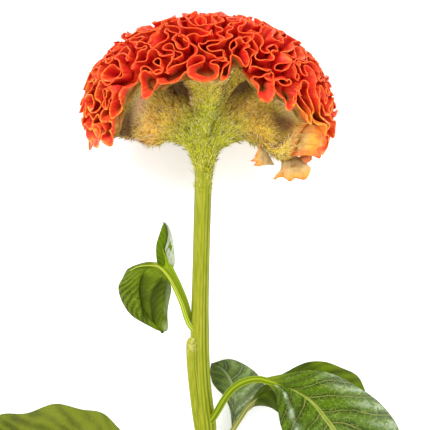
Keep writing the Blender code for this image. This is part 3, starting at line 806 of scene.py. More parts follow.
def wall_feet():
    """The feet of the walls, as loose edges: the zero lines of the growth field, cut out of a flat map.

    Each foot keeps the way down the field, which is the side that its wall leans to.
    """
    bm = bmesh.new()
    bmesh.ops.create_grid(bm, x_segments=MAP_STEPS, y_segments=MAP_STEPS, size=MAP_REACH)
    flat = places(bm)
    steps = np.round((flat[:, :2] / MAP_REACH + 1) / 2 * MAP_STEPS).astype(int)
    column, row = steps[:, 0], steps[:, 1]
    grid = np.zeros((MAP_STEPS + 1, MAP_STEPS + 1, 2))
    grid[column, row] = flat[:, :2]
    around, down = map_angles(grid)
    points = dome_points(around, down)
    east, north = np.gradient(points, axis=0), np.gradient(points, axis=1)
    area = np.linalg.norm(np.cross(east, north), axis=-1)
    field = growth_field(points, area, around, down)
    slope_x, slope_y = np.gradient(field, axis=0), np.gradient(field, axis=1)
    down_field = -unit(slope_x[..., None] * unit(east) + slope_y[..., None] * unit(north))
    side = bm.verts.layers.float_vector.new("side")
    for vertex, value, way in zip(bm.verts, field[column, row], down_field[column, row]):
        vertex.co.z = value * 10
        vertex[side] = way
    bmesh.ops.triangulate(bm, faces=bm.faces)
    everything = bm.verts[:] + bm.edges[:] + bm.faces[:]
    cut = bmesh.ops.bisect_plane(bm, geom=everything, dist=1e-5, plane_co=(0, 0, 0), plane_no=(0, 0, 1))
    feet = {item for item in cut["geom_cut"] if isinstance(item, bmesh.types.BMEdge)}
    bmesh.ops.delete(bm, geom=bm.faces[:], context="FACES_ONLY")
    bmesh.ops.delete(bm, geom=[edge for edge in bm.edges if edge not in feet], context="EDGES")
    bmesh.ops.delete(bm, geom=[vertex for vertex in bm.verts if not vertex.link_edges], context="VERTS")
    move(bm.verts, dome_points(*map_angles(places(bm))))
    bmesh.ops.remove_doubles(bm, verts=bm.verts, dist=0.5)
    every_way = {"use_axis_x": True, "use_axis_y": True, "use_axis_z": True}
    for _ in range(3):
        bmesh.ops.smooth_vert(bm, verts=bm.verts, factor=0.5, **every_way)
    return bm


def rest_on_table(bm):
    """What would reach under the table spreads on it instead, as the head's weight presses it."""
    back = PLACE.inverted()
    for vertex in bm.verts:
        point = PLACE @ vertex.co
        if point.z < TABLE_CLEARANCE:
            point.z = TABLE_CLEARANCE
            vertex.co = back @ point


def new_group(name, inputs, outputs):
    """An empty node group with sockets named by kind, what draws its nodes, and its two ends' sockets."""
    tree = bpy.data.node_groups.new(name, "ShaderNodeTree")
    for way, kinds in (("INPUT", inputs), ("OUTPUT", outputs)):
        for kind, sockets in kinds.items():
            for socket in sockets:
                tree.interface.new_socket(socket, in_out=way, socket_type="NodeSocket" + kind)
    given = tree.nodes.new("NodeGroupInput").outputs
    result = tree.nodes.new("NodeGroupOutput").inputs
    return tree, Paint.on_tree(tree), given, result


def tender_lip_group():
    """Turns the crest's tissue to the fan's tender green and tan where it meets the fan."""
    inputs = {"Float": ("Lip", "Mottle"), "Color": ("Tissue",)}
    tree, paint, given, result = new_group("tender_lip", inputs, {"Color": ("Colour",)})
    tender = paint.ramp(
        given["Mottle"],
        (0.4, (0.24, 0.15, 0.020)),
        (0.55, (0.42, 0.24, 0.06)),
        (0.65, (0.54, 0.17, 0.045)),
    )
    paint.put(result["Colour"], paint.mix(given["Lip"], given["Tissue"], tender))
    return tree


tender_lip = tender_lip_group()


def colour_to_lip(paint, tissue):
    given = {"Lip": paint.layer("lip"), "Mottle": paint.noise(300), "Tissue": tissue}
    paint.colour(paint.group(tender_lip, given)[0])


paint = Paint("comb_tissue", 0.40, 0.22)
rise = paint.layer("rise")
# Darker crimson towards the walls' feet, orange at the rims: the dark feet are partly painted shade deep in
# the maze.
red = paint.ramp(
    rise,
    (0.0, (0.62, 0.007, 0.014)),
    (0.3, (0.80, 0.014, 0.024)),
    (0.75, (0.79, 0.030, 0.024)),
    (0.93, (0.77, 0.050, 0.012)),
    (1.0, (0.77, 0.080, 0.010)),
)
orange = paint.ramp(
    rise,
    (0.0, (0.28, 0.012, 0.003)),
    (0.3, (0.64, 0.050, 0.012)),
    (0.75, (0.80, 0.095, 0.020)),
    (0.93, (0.79, 0.10, 0.014)),
    (1.0, (0.82, 0.135, 0.014)),
)
gold = paint.ramp(rise, (0.0, (0.45, 0.08, 0.012)), (0.6, (0.78, 0.19, 0.018)), (1.0, (0.90, 0.33, 0.030)))
tissue = paint.mix(paint.patches(260, 0.48, 0.72), red, orange)
tissue = paint.mix(paint.times(paint.patches(420, 0.58, 0.74), 0.5), tissue, (0.82, 0.13, 0.03))
crimson = paint.times(paint.patches(110, 0.48, 0.66), 0.55)
crimson = paint.times(crimson, paint.between(rise, 1.0, 0.9))
tissue = paint.mix(crimson, tissue, (0.62, 0.010, 0.014))
streak = paint.layer("streak")
dark_streak = paint.between(streak, 0.2, 2.0)
tissue = paint.mix(paint.times(dark_streak, 0.55), tissue, (0.48, 0.010, 0.004))
pale_streak = paint.between(paint.times(streak, -1.0), 0.2, 2.0)
tissue = paint.mix(paint.times(pale_streak, 0.5), tissue, (0.86, 0.17, 0.035))
warm = paint.plus_times(paint.less(paint.noise(350), 0.5), 1.6, paint.layer("warmth"))
warm = paint.plus_times(paint.between(rise, 0.9, 1.0), 0.22, warm)
tissue = paint.mix(paint.between(warm, 0.25, 1.0), tissue, gold)
tissue = paint.mix(paint.times(paint.patches(800, 0.5, 0.64), 0.5), tissue, (0.72, 0.045, 0.014))
colour_to_lip(paint, tissue)
paint.bump(paint.noise(1500, detail=2), 0.00012)
wall_material = paint.material

# The skin on the maze's floor is a darker crimson than the walls: partly painted shade.
paint = Paint("comb_skin", 0.9, 0.0)
colour_to_lip(paint, paint.ramp(paint.noise(250), (0.4, (0.34, 0.007, 0.004)), (0.65, (0.50, 0.028, 0.008))))
paint.bump(paint.noise(900), 0.0004)

bm, around, ring = warped_sphere(SKIN_SIDES, SKIN_RINGS + 1 + LIP_RINGS, skin_place)
set_layer(bm, "lip", np.clip((ring - SKIN_RINGS + 2.5) / 2, 0, 1))
rest_on_table(bm)
finished(bm, "comb_skin", paint.material, "comb")

bm = wall_feet()
feet = places(bm)
side_layer = bm.verts.layers.float_vector["side"]
normals = dome_normals(feet)
sideways = np.array([vertex[side_layer] for vertex in bm.verts])
sideways = unit(sideways - normals * (sideways * normals).sum(-1, keepdims=True))
ball = (feet - HEAD_CENTRE) / DOME_RADII
around = np.degrees(np.arctan2(ball[:, 2], ball[:, 0]))
down = np.degrees(np.arctan2(np.hypot(ball[:, 0], ball[:, 2]), ball[:, 1]))
edge = (hem_angle(around) - down) * MM_PER_DEGREE
hem = before(edge, 8.0, 4.0)[:, None]
height = WALL_HEIGHT * (1 + 0.12 * waves(feet, 9.0, 41))[:, None]
# In millimetres, how far a wall leans to its side, droops towards the hem, sways along it and curls.
lean = 0.45 + 0.6 * waves(feet, 12.0, 42)[:, None] * (1 - hem) + 0.5 * hem
droop = (1.6 + 1.4 * hump(edge, 10) + 0.8 * waves(feet, 11.0, 45)) * after(down, 0, 35)
sway = 1.2 * waves(feet, 11.0, 46)[:, None]
curl = 1.1 * waves(feet, 5.5, 43)[:, None] * (1 - hem) + 1.1 * waves(feet, 7.0, 44)[:, None] * hem
towards_hem = unit(dome_points(around, down + 1) - dome_points(around, down - 1))
along_hem = np.cross(towards_hem, normals)
offset = sideways * (lean + curl) + towards_hem * droop[:, None] + along_hem * sway
left_end = np.exp(-(((feet - (-50, 28, 12)) / (12, 20, 24)) ** 2).sum(1))
low_right = np.exp(-(((feet - (50, 18, 18)) / (13, 16, 22)) ** 2).sum(1))
warmth = 0.42 * left_end + 0.7 * low_right + 0.15 * hem[:, 0]
streak = np.random.default_rng(47).normal(size=len(feet))
rise_layer, streak_layer, warmth_layer, lip_layer = (
    bm.verts.layers.float.new(name) for name in ("rise", "streak", "warmth", "lip")
)
order_layer = bm.verts.layers.int.new("order")
thick_layer = bm.verts.layers.deform.verify()
for index, vertex in enumerate(bm.verts):
    vertex[order_layer] = index
edges, level_verts = bm.edges[:], bm.verts[:]
for level, (share, thickness) in enumerate(WALL_LEVELS):
    if level:
        made = bmesh.ops.extrude_edge_only(bm, edges=edges)["geom"]
        edges = [item for item in made if isinstance(item, bmesh.types.BMEdge)]
        level_verts = [item for item in made if isinstance(item, bmesh.types.BMVert)]
    index = [vertex[order_layer] for vertex in level_verts]
    points = feet[index] + normals[index] * height[index] * share
    points += offset[index] * max(share, 0) ** 1.6
    move(level_verts, points)
    for vertex, k in zip(level_verts, index):
        vertex[rise_layer] = min(1.0, (share + WALL_ROOT) / (1 + WALL_ROOT))
        vertex[warmth_layer] = warmth[k]
        vertex[streak_layer] = streak[k]
        vertex[lip_layer] = hem[k, 0] * max(0.0, 1 - 2.4 * max(0, share))
        vertex[thick_layer][0] = thickness
bmesh.ops.recalc_face_normals(bm, faces=bm.faces)
rest_on_table(bm)
walls = finished(bm, "comb_walls", wall_material, "comb")
walls.vertex_groups.new(name="thick")
solid = walls.modifiers.new("thickness", "SOLIDIFY")
solid.thickness = RIM_THICKNESS * 0.001
solid.offset = 0
solid.vertex_group = "thick"

# Leaves: six soft blades with a pale midrib and sunken side veins, each on its own fleshy stalk that
# grows from a node of the stem. They have a soft gloss, and curl as they wilt.
# Pale patches of painted highlight lie on the blades, and their creases hold painted shade.
BLADE_STEPS = 76
BLADE_SIDES = 25
BLADE_THICKNESS = 0.4
MIDRIB_DEPTH = 0.5
MIDRIB_WIDTH = 0.05
RIB_END = 0.96
STALK_GROOVES = 0.14
# What a leaf's mesh tells its material of each place, with its crease depth for painted shade and the
# strength of its painted sheen.
LEAF_LAYERS = ("along", "across", "wander", "stalk", "furrow", "crease", "painted_sheen", "veined")


def blade_places(lines, bulge, wave, u, v, fade):
    """Places of a blade drawn between its rib and its left and right edges, with their way up.

    u runs from the foot to the tip and v from -1 at the right edge to 1 at the left. A bulge is how far
    each half stands out between rib and edge, and a wave is the edge's own (height, count, phase).
    """
    rib, left, right = (curve_at(line, u) for line in lines)
    ahead = curve_at(lines[0], u + 0.02) - curve_at(lines[0], u - 0.02)
    normal = np.cross(left - right, ahead)
    flat = np.linalg.norm(normal, axis=1) < 1e-4
    normal[flat] = (0, 0, 1)
    normal = unit(normal) * np.where(normal[:, 2:] < 0, -1, 1)
    is_right, side = v <= 0, np.abs(v)
    edge = np.where(is_right[:, None], right, left)
    height, count, phase = wave
    ripple = height * side**2 * np.sin(2 * np.pi * count * u + phase + 2 * is_right)
    lift = 4 * np.where(is_right, bulge[1], bulge[0]) * (side - side**2) + ripple
    return rib + (edge - rib) * side[:, None] + normal * (lift * fade)[:, None], normal


def crease_depth(u, v, creases):
    """How deep the blade sinks beyond each crease, which runs through places (u, v) along it."""
    sunk = 0 * u
    for at_u, at_v, depth, width in creases:
        past = np.interp(u, at_u, at_v) - v
        ends = after(u, at_u[0], 0.08) * before(u, at_u[-1], 0.08)
        sunk += depth * ends * np.where(past > 0, np.exp(-np.abs(past) / width), np.exp(-np.abs(past) / 0.03))
    return sunk


def blade(lines, bulge, wave, pairs, slant, quilting, folds, creases, painted_sheen, veined, one_sided):
    """A leaf's blade: a grid with its veins sunk and the fields between them raised, made solid."""
    bm = bmesh.new()
    bmesh.ops.create_grid(bm, x_segments=BLADE_STEPS, y_segments=2 * BLADE_SIDES, size=1)
    flat = places(bm)
    u, v = (flat[:, 0] + 1) / 2, flat[:, 1]
    side = np.abs(v)
    points, normal = blade_places(lines, bulge, wave, u, v, np.sin(np.pi * u) ** 0.5)
    inner = np.clip(4 * side * (1 - side), 0, 1) * np.clip(8 * u * (1 - u), 0, 1)
    wander = 0.10 * waves(points, 22.0, 51)
    quilt = quilting * np.abs(np.sin(np.pi * (pairs * (u - slant * side) + wander + 0.5))) ** 0.7 * inner
    quilt += 0.5 * quilting * waves(points, 7.0, 52) * inner
    quilt -= MIDRIB_DEPTH * hump(v, MIDRIB_WIDTH) * np.clip(6 * u * (1 - u), 0, 1)
    sunk = crease_depth(u, v, creases)
    quilt -= sunk
    for at_u, at_v, width_u, width_v, height in folds:
        quilt += height * hump(u - at_u, width_u) * hump(v - at_v, width_v)
    move(bm.verts, points + normal * quilt[:, None])
    known = {
        "along": u,
        "across": (v + 1) / 2 if one_sided else v,
        "wander": wander,
        "stalk": 0,
        "furrow": 0,
        # How deep the blade sinks, which the material also paints dark, as shade.
        "crease": np.clip(sunk, 0, 1),
        # How strongly the sheen colour is painted on, as a highlight.
        "painted_sheen": np.clip(painted_sheen(u, v), 0, 1),
        "veined": np.clip(veined(u, v), 0, 1),
    }
    for layer in LEAF_LAYERS:
        set_layer(bm, layer, known[layer])
    bmesh.ops.remove_doubles(bm, verts=bm.verts, dist=0.02)
    bmesh.ops.solidify(bm, geom=bm.faces[:], thickness=BLADE_THICKNESS)
    bmesh.ops.recalc_face_normals(bm, faces=bm.faces)
    return bm


def stalk_furrow(angle, share):
    return 0.5 + 0.5 * np.cos(5 * angle + 0.6 * np.sin(6 * share))


def stalk_and_rib(stalk, rib, thick, rib_depth):
    """The stalk, which runs on under the blade as its midrib and tapers out before the tip."""
    start, foot, end = thick
    shares = np.linspace(0, 1, 9)
    path = [
        (tuple(point), start + (foot - start) * share)
        for share, point in zip(shares[:-1], curve_at(stalk, shares))
    ]
    for share in np.linspace(0, 1, 14):
        point = curve_at(rib, np.array([RIB_END * share]))[0]
        radius = end + (foot - end) * (1 - share) ** 5
        sunk = rib_depth * radius * min(1, 6 * share)
        path.append(((point[0], point[1], point[2] - sunk), radius))
    bm = rod(path, 28, 60, stalk_furrow, STALK_GROOVES)
    for layer in LEAF_LAYERS:
        if layer != "furrow":
            set_layer(bm, layer, float(layer == "stalk"))
    return bm


def leaf_skin_group():
    """Colours a blade by its place along and across: green fields, paler sunken veins, a fine net, painted
    shade in creases and a painted sheen.
    """
    tree, paint, given, result = new_group(
        "leaf_skin",
        {
            "Float": (
                "Along", "Across", "Wander", "Stalk", "Furrow", "Crease", "Painted_sheen", "Veined", "Rib", "Pairs",
                "Slant", "Mottle", "Fleck",
            ),
            "Color": ("Deep", "Bright", "Vein", "Stalk colour", "Sheen"),
        },
        {"Color": ("Colour",), "Float": ("Height",)},
    )
    side = paint.math("ABSOLUTE", given["Across"])
    shifted = paint.less(given["Along"], paint.times(given["Slant"], side))
    phase = paint.plus_times(given["Pairs"], shifted, given["Wander"])
    off = paint.times(paint.math("ABSOLUTE", paint.less(paint.math("FRACT", phase), 0.5)), 2.0)
    thin = paint.plus_times(side, -0.10, 0.16)
    vein = paint.opposite(paint.between(off, 0.0, thin))
    groove = paint.opposite(paint.between(paint.math("ABSOLUTE", paint.less(side, 0.02)), 0, 0.008))
    net = paint.nodes.new("ShaderNodeTexVoronoi")
    net.feature = "DISTANCE_TO_EDGE"
    net.inputs["Scale"].default_value = 1.0
    spot = paint.nodes.new("ShaderNodeCombineXYZ")
    paint.put(spot.inputs[0], paint.times(shifted, 40.0))
    paint.put(spot.inputs[1], paint.times(given["Across"], 14.0))
    paint.put(net.inputs["Vector"], spot.outputs[0])
    veinlet = paint.opposite(paint.between(net.outputs["Distance"], 0.0, 0.10))
    # Painted shade of the quilting: the green is darker beside the sunken veins and lighter in the fields
    # between, over a random mottle.
    field = paint.times(off, given["Veined"])
    banding = paint.less(field, paint.times(given["Veined"], 0.5))
    shade = paint.plus_times(banding, 0.4, paint.plus_times(given["Mottle"], 0.5, 0.25))
    green = paint.mix(paint.between(shade, 0.30, 0.60), given["Deep"], given["Bright"])
    # Painted highlight: the sheen colour in flecks on the raised fields, as strongly as the blade's layer
    # asks.
    raised = paint.between(paint.plus_times(field, 0.4, given["Fleck"]), 0.66, 0.94)
    raised = paint.plus_times(paint.less(raised, 1.0), given["Veined"], 1.0)
    painted_sheen_share = paint.times(given["Painted_sheen"], paint.plus_times(raised, 0.8, 0.2))
    green = paint.mix(painted_sheen_share, green, given["Sheen"])
    lines = paint.times(paint.times(vein, given["Veined"]), 0.55)
    lines = paint.math("MAXIMUM", lines, paint.times(veinlet, 0.32))
    rib = paint.times(paint.opposite(paint.between(side, 0.03, 0.065)), given["Rib"])
    lines = paint.math("MAXIMUM", lines, paint.times(rib, paint.opposite(groove)))
    veined = paint.mix(lines, green, given["Vein"])
    # Painted shade in the creases: the deeper the blade sinks there, the darker its green.
    veined = paint.mix(paint.times(given["Crease"], 0.8), veined, (0.022, 0.034, 0.002))
    foot = paint.opposite(paint.between(given["Along"], 0.0, 0.14))
    veined = paint.mix(paint.times(foot, 0.7), veined, given["Stalk colour"])
    stripe = paint.between(given["Furrow"], 0.35, 0.9)
    stem = paint.mix(paint.times(stripe, 0.8), given["Stalk colour"], given["Bright"])
    paint.put(result["Colour"], paint.mix(given["Stalk"], veined, stem))
    height = paint.less(field, paint.times(veinlet, 0.35))
    height = paint.plus_times(given["Fleck"], 0.5, height)
    paint.put(result["Height"], paint.times(height, paint.opposite(given["Stalk"])))
    return tree


leaf_skin = leaf_skin_group()


def add_leaf(
    name, stalk, rib, left, right, bulge, wave, thick, pairs, slant, colours, roughness,
    quilting=0.42, folds=(), creases=(), painted_sheen=lambda u, v: 0.0, rib_depth=0.9, ridge=None,
    veined=lambda u, v: 1.0, sheen=(0.40, 0.48, 0.28), one_sided=False,
):
    """One leaf, from the lines that its stalk, midrib and two edges follow.

    It is thick at the stalk's start, at the blade's foot and at the rib's end, and has this many pairs of
    veins. A ridge is the line that the rib follows where the blade is folded along it.
    """
    paint = Paint(name + "_skin", roughness, 0.06)
    given = {layer.capitalize(): paint.layer(layer) for layer in LEAF_LAYERS}
    given |= dict(zip(("Deep", "Bright", "Vein", "Stalk colour"), colours))
    # The sheen colour goes on as a painted highlight.
    given |= {"Sheen": sheen, "Rib": float(ridge is None), "Pairs": float(pairs), "Slant": slant}
    given |= {"Mottle": paint.noise(90, detail=4), "Fleck": paint.noise(620)}
    colour, height = paint.group(leaf_skin, given)
    paint.colour(colour)
    paint.bump(height, 0.00035)
    lines = (rib, left, right)
    bm = blade(lines, bulge, wave, pairs, slant, quilting, folds, creases, painted_sheen, veined, one_sided)
    add_to(bm, stalk_and_rib(stalk, ridge or rib, thick, rib_depth))
    finished(bm, name + "_blade", paint.material, name)


add_leaf(
    "leaf_left_hanging",
    stalk=((-2.9, -80.6, 1), (-7.4, -76.3, 3.2), (-9.6, -69.6, 5), (-12.5, -62.2, 7),
        (-16.1, -55, 9), (-19.4, -50.6, 10.2), (-22.3, -48.4, 10.7)),
    rib=((-22.3, -48.4, 10.7), (-25.7, -48.7, 12.3), (-29, -51.6, 13.2), (-30.8, -56.6, 13.2),
        (-30.9, -62.9, 12.2), (-29, -68.9, 10.6), (-25.9, -73.7, 9), (-22.3, -77.3, 7.4),
        (-19.3, -79.3, 6)),
    left=((-22.6, -46.7, 10.5), (-28.6, -47, 10.6), (-35.8, -49.7, 9.8), (-38.5, -54.0, 9.2),
        (-40.6, -58.6, 8.7), (-39.1, -64.8, 8.2), (-34.1, -71.8, 7.6), (-25.4, -77.0, 6.8),
        (-19.3, -79.3, 6)),
    right=((-21.1, -49.7, 10.6), (-19.2, -51.8, 9.8), (-17.1, -55, 9), (-15.7, -58.8, 8.8),
        (-16.2, -62.9, 9.2), (-17.1, -67.7, 9.2), (-17.6, -72.5, 8.4), (-17.4, -78.2, 7.0),
        (-19.3, -79.3, 6)),
    ridge=((-22.3, -48.4, 11.2), (-25.5, -48.1, 13.6), (-29.0, -48.2, 14.2), (-32.3, -49.0, 13.6),
        (-35.5, -50.9, 12)),
    bulge=(1.8, 1.2), wave=(0.5, 3, 0.4), thick=(1.3, 0.7, 0.3), pairs=14, slant=0.6, quilting=0.04,
    one_sided=True,
    folds=((0.5, 0.25, 0.25, 0.10, 0.8),),
    # Painted shade: the three creases are painted dark where they sink.
    creases=(
        ((0.22, 0.39, 0.56, 0.72, 0.80), (0.02, 0.0, 0.0, 0.25, 0.4), 1.1, 0.38),
        ((0.22, 0.28, 0.42, 0.51, 0.66, 0.88), (-0.78, -0.66, -0.45, -0.38, -0.30, 0.12), 1.1, 0.38),
        ((0.24, 0.30, 0.44, 0.60, 0.72), (-0.95, -0.86, -0.80, -0.86, -0.97), 0.5, 0.06),
    ),
    # Painted highlight: a pale sheen along the right margin and on the right side near the tip.
    painted_sheen=lambda u, v: 0.35 * (v < -0.84) * after(u, 0.26, 0.08) * before(u, 0.76, 0.1)
        + 0.45 * after(u, 0.77, 0.07) * before(v, -0.5, 0.2),
    veined=lambda u, v: 0.65 * (1 - 0.95 * np.exp(-(((v + 0.18) / 0.26) ** 4)))
        * (v > -0.82) * before(u, 0.86, 0.1),
    rib_depth=0.2,
    colours=((0.022, 0.038, 0.001), (0.120, 0.178, 0.003), (0.28, 0.35, 0.04), (0.44, 0.50, 0.05)),
    roughness=0.36,
)
add_leaf(
    "leaf_left_upright",
    stalk=((-2.9, -79.7, -1.5), (-6.5, -75, -0.6), (-8.8, -67.2, 0.4), (-12, -59.6, 1.4),
        (-15.0, -53.8, 2), (-17.4, -49.6, 2.2)),
    rib=((-17.4, -49.6, 2.2), (-17.9, -45.8, 2), (-18.6, -42.5, 1.7), (-19.2, -39.8, 1.3),
        (-18.0, -37.0, 0.8), (-17.5, -33.6, 0.1), (-17.6, -31, -0.7), (-18.3, -29, -1.5),
        (-19.1, -27.6, -2.2)),
    left=((-21.0, -50.6, 2.3), (-22.3, -47.6, 3.2), (-22.8, -44.6, 4), (-23, -41.3, 4.3),
        (-22.8, -37.9, 3.9), (-21.9, -34.8, 3), (-21, -31.9, 1.8), (-20.2, -29.5, 0.2),
        (-19.1, -27.6, -2.2)),
    right=((-14.8, -49.6, 2.4), (-14, -47.5, 3.6), (-13.9, -44.4, 4.4), (-14.1, -41.3, 4.4),
        (-14.5, -37.9, 3.9), (-15.1, -34.8, 3), (-16, -31.7, 1.6), (-17.3, -29.2, -0.3),
        (-19.1, -27.6, -2.2)),
    bulge=(1.0, 0.8), wave=(0.25, 2, 1.0), thick=(1.3, 2.9, 0.3), pairs=9, slant=0.25, quilting=0.2,
    # Painted shade in its crease, and a near-white sheen colour for its painted highlight.
    creases=(((0.1, 0.5, 0.95), (-0.02, -0.02, -0.02), 0.15, 0.10),), sheen=(0.72, 0.77, 0.64),
    veined=lambda u, v: 0.35,
    # Painted highlight: the right half is painted pale, in waves, with one dark patch left out.
    painted_sheen=lambda u, v: (1.3 + 0.9 * np.sin(29 * u + 6 * v) * np.sin(15 * v + 6 * u)) * (v < -0.04)
        - 1.6 * hump(u - 0.42, 0.1) * hump(v + 0.5, 0.25),
    ridge=((-17.4, -49.6, 2.2), (-18.2, -45.2, 2.8), (-19.6, -41.2, 2.8), (-20.5, -37.5, 2.2),
        (-20.4, -34.0, 1.2)),
    rib_depth=0.5,
    colours=((0.07, 0.12, 0.002), (0.14, 0.23, 0.003), (0.18, 0.26, 0.01), (0.22, 0.29, 0.007)),
    roughness=0.34,
)
add_leaf(
    "leaf_right_front",
    stalk=((1, -124.3, 1.5), (4.6, -121.2, 3.4), (8.6, -114, 7), (13.2, -107.5, 10.5),
        (18.7, -103.7, 13), (25, -102.1, 14.3), (30.6, -103.2, 14.8)),
    rib=((30.6, -103.2, 14.8), (38.1, -105.4, 16), (44.4, -108.2, 16.8), (51.4, -112.8, 16.8),
        (56.9, -119.5, 15.4), (61.9, -126.4, 13), (67.7, -137.8, 8.5), (73.9, -150.2, 3),
        (80.5, -163, -4.4)),
    left=((30.5, -104.2, 14.3), (34.1, -108.7, 13), (35.3, -114.2, 11.5), (36, -120.5, 9.6),
        (37.7, -127, 7.6), (40.8, -134.9, 5.5), (47.5, -144.5, 3), (61.4, -155, 0),
        (80.5, -163, -4.4)),
    right=((29.8, -101.5, 14.2), (41.3, -99.3, 14.5), (52.6, -98.1, 13.6), (63.8, -101, 12.3),
        (74.9, -107, 10.6), (86.9, -117.1, 8.4), (93.4, -128.2, 5.4), (91.7, -144.5, 1.4),
        (80.5, -163, -4.4)),
    bulge=(1.8, 1.8), wave=(0.9, 4, 0.6), thick=(1.9, 1.7, 0.4), pairs=8, slant=0.24, quilting=0.8,
    folds=((0.35, 0.5, 0.2, 0.16, 1.2), (0.4, -0.5, 0.12, 0.3, 0.8)),
    # Painted shade along this fold's crease.
    creases=(((0.06, 0.2, 0.29, 0.42, 0.55), (0.20, 0.36, 0.46, 0.56, 0.62), 0.7, 0.16),),
    # Painted highlight: a pale streak along the left fold's ridge, more towards the right margin, and a faint
    # sheen on the outer half.
    painted_sheen=lambda u, v: 1.1 * (u > 0.06) * (u < 0.6)
        * hump(v - np.interp(u, (0.05, 0.2, 0.29, 0.42), (0.26, 0.44, 0.56, 0.66)), 0.07)
        + 0.75 * before(v, -0.55, 0.4) * after(u, 0.25, 0.15)
        + 0.1 * after(u, 0.45, 0.2),
    sheen=(0.40, 0.47, 0.34),
    colours=((0.017, 0.040, 0.001), (0.062, 0.128, 0.001), (0.40, 0.44, 0.09), (0.24, 0.30, 0.010)),
    roughness=0.36,
)
add_leaf(
    "leaf_right_back",
    stalk=((2.4, -146.4, -1.5), (6.2, -140.6, -2), (10.1, -133.9, -1.8), (13.4, -128.2, -1.5),
        (17, -122.4, -1.2), (20.6, -117.1, -1)),
    rib=((20.6, -117.1, -1), (26.4, -111.5, 0), (33.1, -107, 1.2), (41.8, -103.5, 2.2),
        (51.4, -101.6, 2.6), (60.5, -102.8, 1.8), (68.2, -106.6, -0.3), (74.4, -111, -3.5),
        (79.4, -114.2, -7)),
    left=((20.2, -116.6, -1), (25.4, -109.6, -0.4), (31.9, -103.8, 0.3), (39.8, -99.2, 0.6),
        (48.5, -95.3, 0.6), (57.6, -94.3, -0.3), (66.7, -97.6, -2), (74.8, -102.4, -4.4),
        (79.4, -114.2, -7)),
    right=((20.9, -118.6, -1.4), (25.4, -116.2, -3), (31.7, -116.6, -4.4), (37.9, -120.5, -5.4),
        (46.1, -122.4, -6), (55.7, -122.4, -6.4), (65.3, -121.4, -7), (73.9, -119, -7.2),
        (79.4, -114.2, -7)),
    bulge=(0.8, 1.6), wave=(0.6, 3, 1.2), thick=(1.4, 1.3, 0.4), pairs=8, slant=0.22, quilting=0.3,
    # The crease sinks the whole blade, deepest at its left edge, and paints it darker there: painted shade
    # behind the front leaf.
    creases=(((0.0, 0.6), (1.1, 1.1), 0.9, 3.0),), rib_depth=2.4, veined=lambda u, v: 0.5,
    colours=((0.036, 0.054, 0.001), (0.118, 0.185, 0.002), (0.16, 0.22, 0.02), (0.36, 0.34, 0.11)),
    roughness=0.4,
)
add_leaf(
    "leaf_right_lower",
    stalk=((2.9, -148.3, -1.5), (6.2, -143.5, -4.2), (10.1, -138.2, -6), (13, -133, -7.1),
        (14.2, -128.2, -7.6)),
    rib=((14.2, -128.2, -7.6), (14.6, -121.4, -8.2), (14.9, -116.2, -8.8), (14.7, -111.8, -9.3),
        (13.7, -106.8, -9.7), (11.9, -102.5, -10.2), (9.4, -99.1, -10.8), (6.5, -97, -11.5),
        (3.4, -95.8, -12.2)),
    left=((13.4, -128.2, -7.6), (13, -121.4, -8), (12, -116.6, -8.3), (9.8, -111.8, -8.6),
        (6.7, -108.5, -9), (4.5, -105.8, -9.4), (3.3, -102.7, -10), (2.8, -99.1, -11),
        (3.4, -95.8, -12.2)),
    right=((15.4, -128.2, -7.6), (17.3, -122.4, -7.8), (21.6, -116.9, -7.6), (26.4, -112.1, -7),
        (29.3, -106.8, -6.8), (26.6, -101.8, -7.4), (20.9, -96.9, -8.6), (12.5, -93.6, -10.4),
        (3.4, -95.8, -12.2)),
    bulge=(0.9, 0.9), wave=(0.5, 2, 0.5), thick=(1.35, 1.2, 0.45), pairs=6, slant=0.25, quilting=0.4,
    # Painted highlight: a pale sheen over the half near the stalk and over the right half.
    painted_sheen=lambda u, v: 1.2 * before(u, 0.55, 0.2) * (0.6 - 0.4 * v) + 0.35 * before(v, 0, 1),
    colours=((0.032, 0.060, 0.006), (0.10, 0.165, 0.018), (0.38, 0.42, 0.24), (0.32, 0.36, 0.18)),
    roughness=0.4,
)
add_leaf(
    "leaf_left_lower",
    stalk=((1.9, -153.6, 2.5), (-2.4, -151, 4.6), (-8.6, -147.4, 5.8), (-17.3, -144.5, 6.6),
        (-25.9, -143, 7)),
    rib=((-25.9, -143, 7), (-34.1, -139.7, 7.6), (-42.7, -136.8, 7.6), (-51.8, -134.6, 7.2),
        (-61.4, -133, 6.2), (-72, -131.8, 4.4), (-83.5, -130.6, 1.6), (-97, -129.4, -3),
        (-110.4, -128.2, -9.4)),
    left=((-26.4, -143.8, 6.8), (-34.1, -146.4, 5.4), (-43.7, -149.8, 3.6), (-54.2, -151.7, 1.8),
        (-65.3, -152.2, 0.2), (-77.3, -150.2, -1.4), (-89.8, -145.4, -3.4), (-101.3, -137.8, -6),
        (-110.4, -128.2, -9.4)),
    right=((-25.9, -142.3, 6.8), (-32.2, -134.4, 5.2), (-40.3, -126.5, 3.8), (-48.5, -119, 2.6),
        (-58.6, -117.1, 1.8), (-71.5, -114.5, 1), (-85.4, -119.2, -1), (-97.9, -120, -4.4),
        (-110.4, -128.2, -9.4)),
    bulge=(1.6, 1.8), wave=(0.8, 3, 2.0), thick=(1.8, 1.6, 0.5), pairs=9, slant=0.22, quilting=0.6,
    folds=((0.35, -0.5, 0.06, 0.3, 0.7), (0.6, -0.5, 0.07, 0.3, 0.7)),
    # Painted highlight: a faint even sheen.
    painted_sheen=lambda u, v: 0.05, veined=lambda u, v: 0.5,
    colours=((0.055, 0.068, 0.002), (0.135, 0.165, 0.004), (0.18, 0.21, 0.015), (0.22, 0.29, 0.006)),
    roughness=0.42,
)

